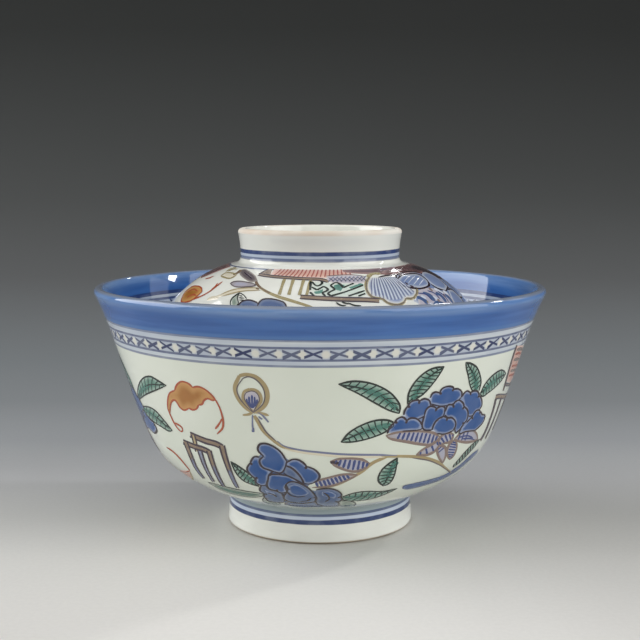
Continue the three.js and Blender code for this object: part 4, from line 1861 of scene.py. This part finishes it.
# %% Key-fret screen and base
pavilion.wash(
    "fret_mint",
    [
        [(-2.2, 25.4), (-1.9, 28.9)],
        [(0.5, 28.7), (4.0, 28.3), (8.0, 28.0), (11.0, 27.2)],
        [(10.7, 23.3), (6.0, 23.0), (2.0, 22.9), (-1.5, 23.4)],
    ],
)
pavilion.wash("leaf_deep", [[(3.2, 25.4), (3.0, 27.2), (4.4, 28.0)], [(6.2, 27.4)], [(5.0, 24.6)]])
pavilion.wash("leaf_deep", [[(-1.9, 25.0), (-0.6, 25.3), (1.0, 26.2)], [(0.6, 24.2), (-1.2, 23.7)]])
pavilion.lines_in(
    "leaf_line",
    [
        [(-1.9, 28.7), (-0.7, 27.0), (0.5, 28.0), (0.3, 29.0)],
        [(-1.9, 26.5), (-0.7, 25.4)],
        [(-0.7, 25.4), (0.9, 26.8)],
        [(0.9, 26.8), (1.8, 25.5), (0.5, 24.4)],
        [(0.5, 24.4), (1.3, 23.1)],
        [(-2.3, 24.6), (-1.4, 23.4)],
        [(2.4, 27.1), (3.7, 28.3), (4.7, 27.6), (5.4, 26.2)],
        [(2.4, 27.1), (3.5, 25.6)],
        [(3.5, 25.6), (1.9, 24.2), (2.5, 23.3)],
        [(2.5, 23.3), (6.0, 24.7), (10.3, 27.0)],
        [(5.4, 26.2), (8.0, 27.9)],
        [(6.6, 23.2), (10.6, 24.9)],
        [(9.0, 23.1), (10.7, 23.9)],
        [(-2.2, 28.9), (-2.3, 25.4)],
    ],
    0.55,
    (0.8, 0.8),
)
pavilion.wash("leaf_deep", [[(6.4, 26.4), (9.6, 28.0)], [(10.8, 27.4)], [(7.2, 25.4)]])
edged(pavilion, [(-4.6, 23.0), (0.0, 22.6), (5.0, 22.2), (11.0, 21.8), (14.2, 21.4)], 1.5, edge_width=0.34)
pavilion.lines_in(
    "leaf_line",
    [
        [(3.7, 21.2), (4.8, 20.3), (6.0, 20.2)], [(6.4, 21.0), (8.0, 20.2), (9.6, 20.0)],
        [(5.0, 21.3), (6.6, 20.6)],
    ],
    0.4,
)
print("pavilion and screen:", pavilion.count())

# %% [markdown]
# ## Shell and petals
# Blue petals and dark clouds crowd the right side of the dome, and a pale blue shell with a scalloped
# gold edge lies over them. What lies below is painted first: the petals, then the shell, then the clouds.
# The ribs of the shell fan out evenly, light and dark in turn, so a loop spaces them.

# %% Petals on the right of the lid
shell = Board()
shell.wash(
    "petal_pale",
    [
        [(19.6, 31.2), (30.0, 31.4), (42.0, 30.6)],
        [(50.0, 25.0), (54.0, 15.0)],
        [(44.0, 14.4), (30.0, 16.6), (24.0, 20.4)],
    ],
)
for shape in (
    [
        [(41.0, 29.8), (46.0, 28.6), (50.6, 25.0)], [(52.0, 20.0), (47.0, 19.0)],
        [(43.4, 22.2), (41.4, 26.4)],
    ],
    [
        [(31.0, 29.8), (33.6, 30.5), (37.2, 29.8), (40.6, 27.2), (43.0, 23.4)], [(38.8, 22.3)],
        [(34.8, 23.7), (32.6, 25.4)],
    ],
    [[(40.6, 22.6), (44.6, 22.0), (47.6, 18.8)], [(46.0, 14.8), (40.6, 15.6)], [(39.6, 19.4)]],
):
    shell.filled("petal_pale", "plum_line", shape, 0.5)
shell.wash(
    "mist_lilac",
    [
        [(25.2, 23.6), (28.0, 24.4), (32.0, 24.2), (36.0, 22.8), (39.6, 21.4)],
        [(40.2, 17.4), (33.0, 16.0), (26.0, 17.6), (25.2, 23.6)],
    ],
)
shell.lines_in(
    "petal_grey",
    [
        [(25.2, 21.8), (27.0, 20.8), (28.4, 19.4)],
        [(27.6, 23.0), (30.0, 21.8), (31.4, 19.8)],
        [(30.2, 18.6), (32.4, 19.4), (34.6, 18.6)],
        [(32.8, 22.4), (35.0, 21.0), (36.2, 19.0)],
        [(37.0, 21.4), (38.8, 19.8), (39.4, 17.8)],
    ],
    1.4,
)
shell.lines_in(
    "cobalt_stroke",
    [
        [(25.6, 23.0), (28.6, 22.2), (30.4, 20.0)],
        [(29.6, 23.4), (32.2, 22.2), (33.8, 20.2)],
        [(34.0, 22.8), (36.4, 21.0), (37.4, 18.8)],
    ],
    0.4,
)
shell.lines_in(
    "shell_white_and_sheen",
    [
        [(26.6, 22.0), (28.2, 21.0)], [(31.0, 21.4), (32.6, 20.4)], [(35.0, 22.4), (36.6, 21.8)],
        [(28.8, 19.0), (30.2, 19.2)],
    ],
    0.8,
)
shell.filled(
    "petal_pale",
    "plum_line",
    [
        [(20.2, 28.8), (21.8, 30.2), (24.6, 30.7), (29.1, 30.1), (31.4, 27.9), (32.1, 25.5)],
        [(30.9, 24.9), (27.4, 24.4), (24.5, 25.0), (22.8, 25.3)],
        [(20.2, 26.9), (20.2, 28.8)],
    ],
    0.55,
)
shell.lines_in(
    "shell_white_and_sheen",
    [
        [(22.0, 27.4), (23.6, 28.8), (25.4, 29.8)],
        [(23.2, 26.6), (25.2, 28.2), (27.4, 29.4)],
        [(25.0, 26.0), (27.0, 27.4), (29.2, 28.8)],
        [(27.0, 25.6), (28.6, 26.6), (30.4, 27.6)],
    ],
    0.24,
)
shell.lines_in("book_line", [[(22.4, 27.2), (23.2, 26.2)], [(23.6, 25.8), (24.9, 25.3)]], 0.5)
shell.line("plum_line", [(31.9, 26.6), (31.6, 25.4), (30.6, 24.9)], 0.95, (0.5, 0.6))
# Painted highlights: two broad white strokes on the petals at the right stand for glints
shell.lines_in("shell_white_and_sheen", [[(33.1, 23.9), (35.9, 22.1)], [(37.1, 22.8), (39.2, 21.2)]], 1.0)
shell.lines_in(
    "sepal_brown",
    [[(30.6, 24.4), (31.8, 23.0)], [(32.6, 20.4), (33.2, 19.2)], [(36.2, 21.6), (36.8, 20.4)]], 0.9,
)
shell.lines_in(
    "olive_gold", [[(25.7, 25.1), (25.7, 23.6), (25.0, 22.2)], [(27.4, 20.5), (28.6, 19.6)]], 1.0,
)
print("petals on the lid:", shell.count())

# %% Shell and clouds
shell_edge = [
    [(12.0, 30.3), (11.1, 27.5), (11.3, 24.5), (12.6, 22.6), (15.0, 22.0)],
    [(16.3, 20.6), (18.8, 19.8), (20.8, 20.4), (21.6, 21.6)],
    [(23.8, 21.5), (25.2, 22.8), (25.7, 24.4)],
    [(23.0, 25.3), (20.8, 26.8), (20.0, 28.4), (20.2, 30.8)],
    [(17.0, 30.7), (14.0, 30.0), (12.0, 30.3)],
]
shell.wash("shell_blue", shell_edge)
for i in range(25):
    share = i / 24
    top = (12.9 + 6.4 * share, 30.0)
    foot = (12.3 + 12.2 * share, 23.4 - 2.0 * math.sin(math.pi * share))
    stroke = [top, ((top[0] + foot[0]) / 2 - 0.2, 27.0), foot]
    if i % 2:
        shell.line("shell_white_and_sheen", stroke, 0.34, (0.4, 0.9))
    else:
        shell.line("branch_grey", stroke, 0.24, (0.3, 0.9))
for stroke in chained(shell_edge)[:3]:
    shell.line("olive_gold", stroke, 0.85, (0.8, 0.8))
    shell.line("smoke_grey", stroke, 0.24, (0.8, 0.8))
shell.line("plum_line", chained(shell_edge)[3], 0.6)
shell.line("plum_line", [(14.6, 30.2), (17.0, 30.8), (20.4, 30.9), (22.4, 30.7)], 0.8, (0.5, 0.5))
shell.wash(
    "cloud_purple",
    [
        [(15.6, 32.6), (17.0, 33.8), (21.3, 35.4)],
        [(30.0, 35.6), (36.0, 34.6), (44.0, 31.6)],
        [(42.0, 29.8), (36.0, 30.7), (31.2, 29.9), (27.7, 31.1), (22.3, 31.2), (17.0, 30.7)],
    ],
)
shell.wash(
    "plum_line",
    [
        [(27.5, 33.4), (30.0, 32.0), (36.4, 29.6), (42.6, 26.0)],
        [(48.0, 26.0), (45.0, 29.0), (39.0, 32.4), (33.0, 34.4), (27.5, 33.4)],
    ],
)
shell.line("plum_line", [(20.8, 31.4), (25.0, 31.8), (28.6, 31.2), (31.4, 30.4)], 0.6)
shell.line("olive_gold", [(11.8, 30.4), (12.6, 31.8), (14.0, 32.2), (15.4, 31.8)], 1.3, (0.6, 0.4))
print("petals, shell and clouds:", shell.count())

# %% [markdown]
# ## Sprig, bat and clouds
# The left side of the dome has more air: a gold sprig with grey buds, a small flower below it, a second
# bat and a dark cloud near the ring. Free brush lines carry most of it, with few washes.

# %% Sprig
sprig = Board()
sprig.line(
    "olive_gold",
    [
        (-16.9, 30.4), (-16.0, 28.2), (-15.1, 26.5), (-13.2, 24.8), (-10.2, 23.1), (-7.1, 21.9),
        (-4.0, 20.7), (-1.0, 19.4),
    ],
    0.9,
    (0.7, 0.5),
)
sprig.line(
    "book_brown", [(-16.9, 30.4), (-16.0, 28.2), (-15.1, 26.5), (-13.2, 24.8), (-11.2, 23.6)], 0.8,
    (0.9, 0.2),
)
sprig.line(
    "cream", [(-14.9, 25.3), (-18.4, 24.9), (-21.4, 24.2), (-26.0, 22.2), (-30.0, 20.4)], 1.0, (0.8, 0.6),
)
sprig.lines_in(
    "gold",
    [
        [(-26.1, 22.5), (-22.3, 24.5), (-19.1, 25.3), (-15.2, 25.8)],
        [(-25.4, 22.0), (-20.5, 23.9), (-17.9, 24.5), (-14.5, 24.9)],
    ],
    0.36,
)
sprig.line("book_brown", [(-15.8, 25.4), (-14.8, 25.3)], 0.7, (0.6, 0.6))
sprig.line("cream", [(-30.6, 20.4), (-28.4, 21.2), (-26.6, 21.4)], 1.2, (0.5, 0.5))
sprig.wash(
    "smoke_grey",
    [
        [(-22.8, 33.4), (-20.6, 34.0), (-16.8, 31.4), (-15.4, 28.4)],
        [(-17.4, 27.8), (-19.4, 28.8), (-22.0, 31.0), (-22.8, 33.4)],
    ],
)
sprig.line("book_line", [(-20.6, 32.2), (-18.6, 30.6), (-17.2, 29.2)], 0.6, (0.3, 0.3))
sprig.filled(
    "sepal_lilac",
    "smoke_grey",
    [
        [(-23.9, 26.6), (-23.0, 27.4), (-20.7, 27.9), (-16.7, 27.4)],
        [(-16.0, 26.6), (-18.1, 25.9), (-22.0, 25.6), (-23.9, 26.6)],
    ],
    0.4,
)
sprig.wash(
    "cream", [[(-29.4, 29.2), (-27.9, 30.9), (-24.9, 31.1)], [(-22.7, 30.5), (-24.5, 28.7), (-29.4, 29.2)]],
)
sprig.line("book_brown", [(-24.2, 30.4), (-23.0, 31.6), (-22.2, 33.2)], 1.3, (0.5, 0.5))
sprig.lines_in(
    "olive_gold",
    [
        [(-29.4, 29.2), (-27.9, 30.9), (-24.9, 31.1), (-22.9, 30.6)],
        [(-29.4, 29.2), (-26.4, 28.7), (-24.5, 28.8), (-22.9, 30.4)],
        [(-28.6, 31.4), (-27.6, 33.0), (-25.4, 34.4)],
        [(-27.6, 31.8), (-26.2, 33.0), (-24.2, 33.6)],
    ],
    0.6,
)
print("sprig:", sprig.count())

# %% Small flower
sprig.filled(
    "ground_green",
    "leaf_line",
    [
        [(-22.2, 19.0), (-22.5, 20.6), (-22.0, 21.8), (-20.2, 23.6)],
        [(-20.6, 21.8), (-20.0, 20.2)],
        [(-20.8, 19.0), (-22.2, 19.0)],
    ],
    0.36,
)
sprig.lines_in(
    "leaf_line",
    [
        [(-20.2, 23.6), (-18.8, 22.8), (-17.9, 21.7)],
        [(-20.2, 22.6), (-19.2, 22.5)],
        [(-20.2, 21.9), (-18.6, 21.9)],
        [(-20.0, 21.2), (-18.3, 21.3)],
    ],
    0.32,
)
sprig.filled(
    "petal_grey",
    "plum_line",
    [
        [
            (-20.4, 15.4), (-20.4, 18.6), (-19.5, 20.4), (-18.6, 21.1), (-17.1, 21.4), (-15.2, 20.8),
            (-13.8, 19.6),
        ],
        [(-12.6, 17.0), (-16.0, 14.4), (-20.4, 15.4)],
    ],
    0.42,
)
sprig.filled(
    "petal_grey",
    "plum_line",
    [
        [
            (-14.9, 19.6), (-14.5, 20.8), (-13.6, 21.8), (-11.8, 22.1), (-10.0, 21.8), (-8.3, 21.0),
            (-7.6, 19.2),
        ],
        [(-7.4, 16.8), (-10.0, 14.6), (-13.6, 16.0), (-14.9, 19.6)],
    ],
    0.42,
)
print("sprig and flower:", sprig.count())

# %% Second bat and cloud
sprig.filled(
    "bat_amber",
    "iron_red",
    [
        [(-46.0, 21.0), (-43.0, 23.2), (-38.0, 24.0), (-35.4, 23.6), (-34.2, 22.6)],
        [(-35.2, 21.4), (-36.8, 19.9)],
        [(-38.6, 19.0), (-43.6, 18.4), (-46.0, 21.0)],
    ],
    0.46,
)
sprig.lines_in(
    "iron_red",
    [
        [(-37.0, 19.8), (-34.0, 21.0), (-31.0, 22.8), (-28.8, 25.0), (-27.1, 27.0)],
        [(-30.2, 23.6), (-29.2, 25.0), (-28.8, 26.2)],
        [(-37.0, 27.0), (-34.8, 27.6), (-33.0, 28.6)],
        [(-43.0, 21.4), (-39.6, 22.8), (-36.6, 22.4)],
        [(-41.0, 20.0), (-38.0, 21.2), (-36.2, 21.0)],
    ],
    0.46,
    (0.9, 0.4),
)
sprig.wash(
    "cloud_purple",
    [
        [(-42.5, 26.4), (-38.2, 28.2), (-33.6, 31.0), (-28.8, 34.3)],
        [(-36.5, 34.6), (-42.4, 31.0), (-47.4, 28.0), (-42.5, 26.4)],
    ],
)
print("sprig, flower, bat and cloud:", sprig.count())

# %% [markdown]
# ## Laying the painting on the lid
# The two halves of the lid are alike, so the same films are laid twice, half a turn apart. The motifs
# borrowed from the bowl are moved down the sheet, to the part that the bowl's lip hides at rest.

# %% Painting the lid
lid_sheet = Outside("lid", lid_outside)
lid_films = {"pavilion": flat_films(pavilion), "shell": flat_films(shell), "sprig": flat_films(sprig)}
for half_turn in (0.0, 180.0):
    for board_films in lid_films.values():
        lid_sheet.lay(board_films, turn=half_turn)
    lid_sheet.lay(films["high_peony"], turn=half_turn, along=-44.0, up=-30.0)
    lid_sheet.lay(films["bat"], turn=half_turn + 72.0, up=-31.0)
    lid_sheet.lay(films["crown_leaves"], turn=half_turn + 8.0, up=-33.5)
lid_sheet.made()

# %% [markdown]
# ## Floor, backdrop and light
# The photograph was taken on a paper sweep that goes from pale at the front to dark at the top. The
# paper is also painted a little darker at the right, as painted shade where the light falls off. One
# plane is extruded upwards at the back and its corner bevelled, as such paper hangs. Two large soft
# boxes stand at the sides, so the sides of the bowl are brighter than its middle. A card in front and a
# box above lift the middle, and three small lamps behind leave the bright marks that glaze always shows.

# %% Paper sweep
paper_size = 8.0
paper_middle = -2.2
paper_back = 1.0
paper_rise = 1.7
paper_bend = 1.6
bend_steps = 40

bpy.ops.object.select_all(action="DESELECT")
bpy.ops.mesh.primitive_plane_add(size=paper_size, location=(0.0, paper_middle, 0.0))
bpy.ops.object.transform_apply(location=True)
sweep_paper = bpy.context.object
sweep_paper.name = "paper_sweep"
for edge in sweep_paper.data.edges:
    edge.select = all(sweep_paper.data.vertices[i].co.y > paper_back for i in edge.vertices)
bpy.ops.object.mode_set(mode="EDIT")
bpy.ops.mesh.select_mode(type="EDGE")
bpy.ops.mesh.extrude_region_move(TRANSFORM_OT_translate={"value": (0.0, 0.0, paper_rise)})
bpy.ops.object.mode_set(mode="OBJECT")
for edge in sweep_paper.data.edges:
    ends = [sweep_paper.data.vertices[i].co for i in edge.vertices]
    edge.select = all(end.y > paper_back and end.z < paper_rise / 2 for end in ends)
bpy.ops.object.mode_set(mode="EDIT")
bpy.ops.mesh.bevel(offset=paper_bend, segments=bend_steps)
bpy.ops.mesh.select_all(action="SELECT")
bpy.ops.mesh.normals_make_consistent(inside=True)
bpy.ops.object.mode_set(mode="OBJECT")
bpy.ops.object.shade_smooth()
print("paper sweep has", len(sweep_paper.data.polygons), "faces")

# %% Paper material
paper_reach = 1.5
paper_start = 0.1
paper_roughness = 0.85
# Grey of the paper's flecks, also the colour of the painted shade at the right
fleck_and_shade_grey = paint(60, 60, 60)
shade_start = 0.02
shade_end = 0.1
shade_share = 0.1
paper_tones = [
    (-0.08, (223, 221, 217)),
    (-0.035, (217, 216, 212)),
    (0.0, (192, 192, 189)),
    (0.04, (180, 181, 182)),
    (0.09, (149, 152, 155)),
    (0.16, (125, 129, 132)),
    (0.26, (113, 118, 121)),
    (0.5, (87, 89, 90)),
    (0.75, (73, 75, 75)),
    (1.4, (50, 52, 51)),
]
paper, tree, shader = new_material("sweep_paper")
flat = add_node(tree, "SeparateXYZ", {0: object_place(tree)}).outputs
depth = calc(tree, "ADD", flat[1], flat[2])
ramp = add_node(tree, "ValToRGB", {0: calc(tree, "MULTIPLY_ADD", depth, 1 / paper_reach, paper_start)})
stops = ramp.color_ramp.elements
for i, (at, tone) in enumerate(paper_tones):
    stop = stops[i] if i < 2 else stops.new(1.0)
    stop.position = at / paper_reach + paper_start
    stop.color = paint(*tone)
# Painted shade: the paper darkens towards the right, where the light falls off
shade = soft_step(tree, flat[0], shade_start, shade_end, 0.0, shade_share)
grey = mixed(tree, shade, ramp.outputs["Color"], fleck_and_shade_grey)
fleck = soft_step(tree, noise(tree, object_place(tree), 900.0), 0.3, 0.7, 0.97, 1.0)
feed(tree, mixed(tree, fleck, fleck_and_shade_grey, grey), shader["Base Color"])
shader["Roughness"].default_value = paper_roughness
sweep_paper.data.materials.append(paper)
print("paper has", len(stops), "tones")

# %% Lamps and world
lit_point = (0.0, 0.0, 0.035)
world_grey = (0.32, 0.325, 0.33, 1.0)


def soft_box(name, place, size, power, colour=(1.0, 1.0, 1.0)):
    """A square lamp that faces the bowl."""
    bpy.ops.object.light_add(type="AREA", location=place)
    lamp = bpy.context.object
    lamp.name = name
    lamp.data.size = size
    lamp.data.energy = power
    lamp.data.color = colour
    aim = Vector(lit_point) - Vector(place)
    lamp.rotation_euler = aim.to_track_quat("-Z", "Y").to_euler()


soft_box("left_box", (-1.24, 0.12, 0.605), 1.24, 19.5)
soft_box("right_box", (1.24, -0.70, 0.565), 1.60, 18.5)
soft_box("front_card", (0.0, -1.30, 0.22), 1.00, 3.6, (1.0, 0.98, 0.9))
soft_box("top_box", (0.0, -0.15, 0.95), 1.20, 3.2)
soft_box("back_card", (0.58, 0.32, 0.34), 0.17, 0.08)
soft_box("right_bulb", (0.55, 0.20, 0.44), 0.05, 0.9)
soft_box("far_bulb", (0.15, 0.58, 0.40), 0.03, 0.12)
world = bpy.data.worlds.new("studio")
scene.world = world
world.use_nodes = True
world.node_tree.nodes["Background"].inputs["Color"].default_value = world_grey

bpy.data.objects.remove(brush_section)
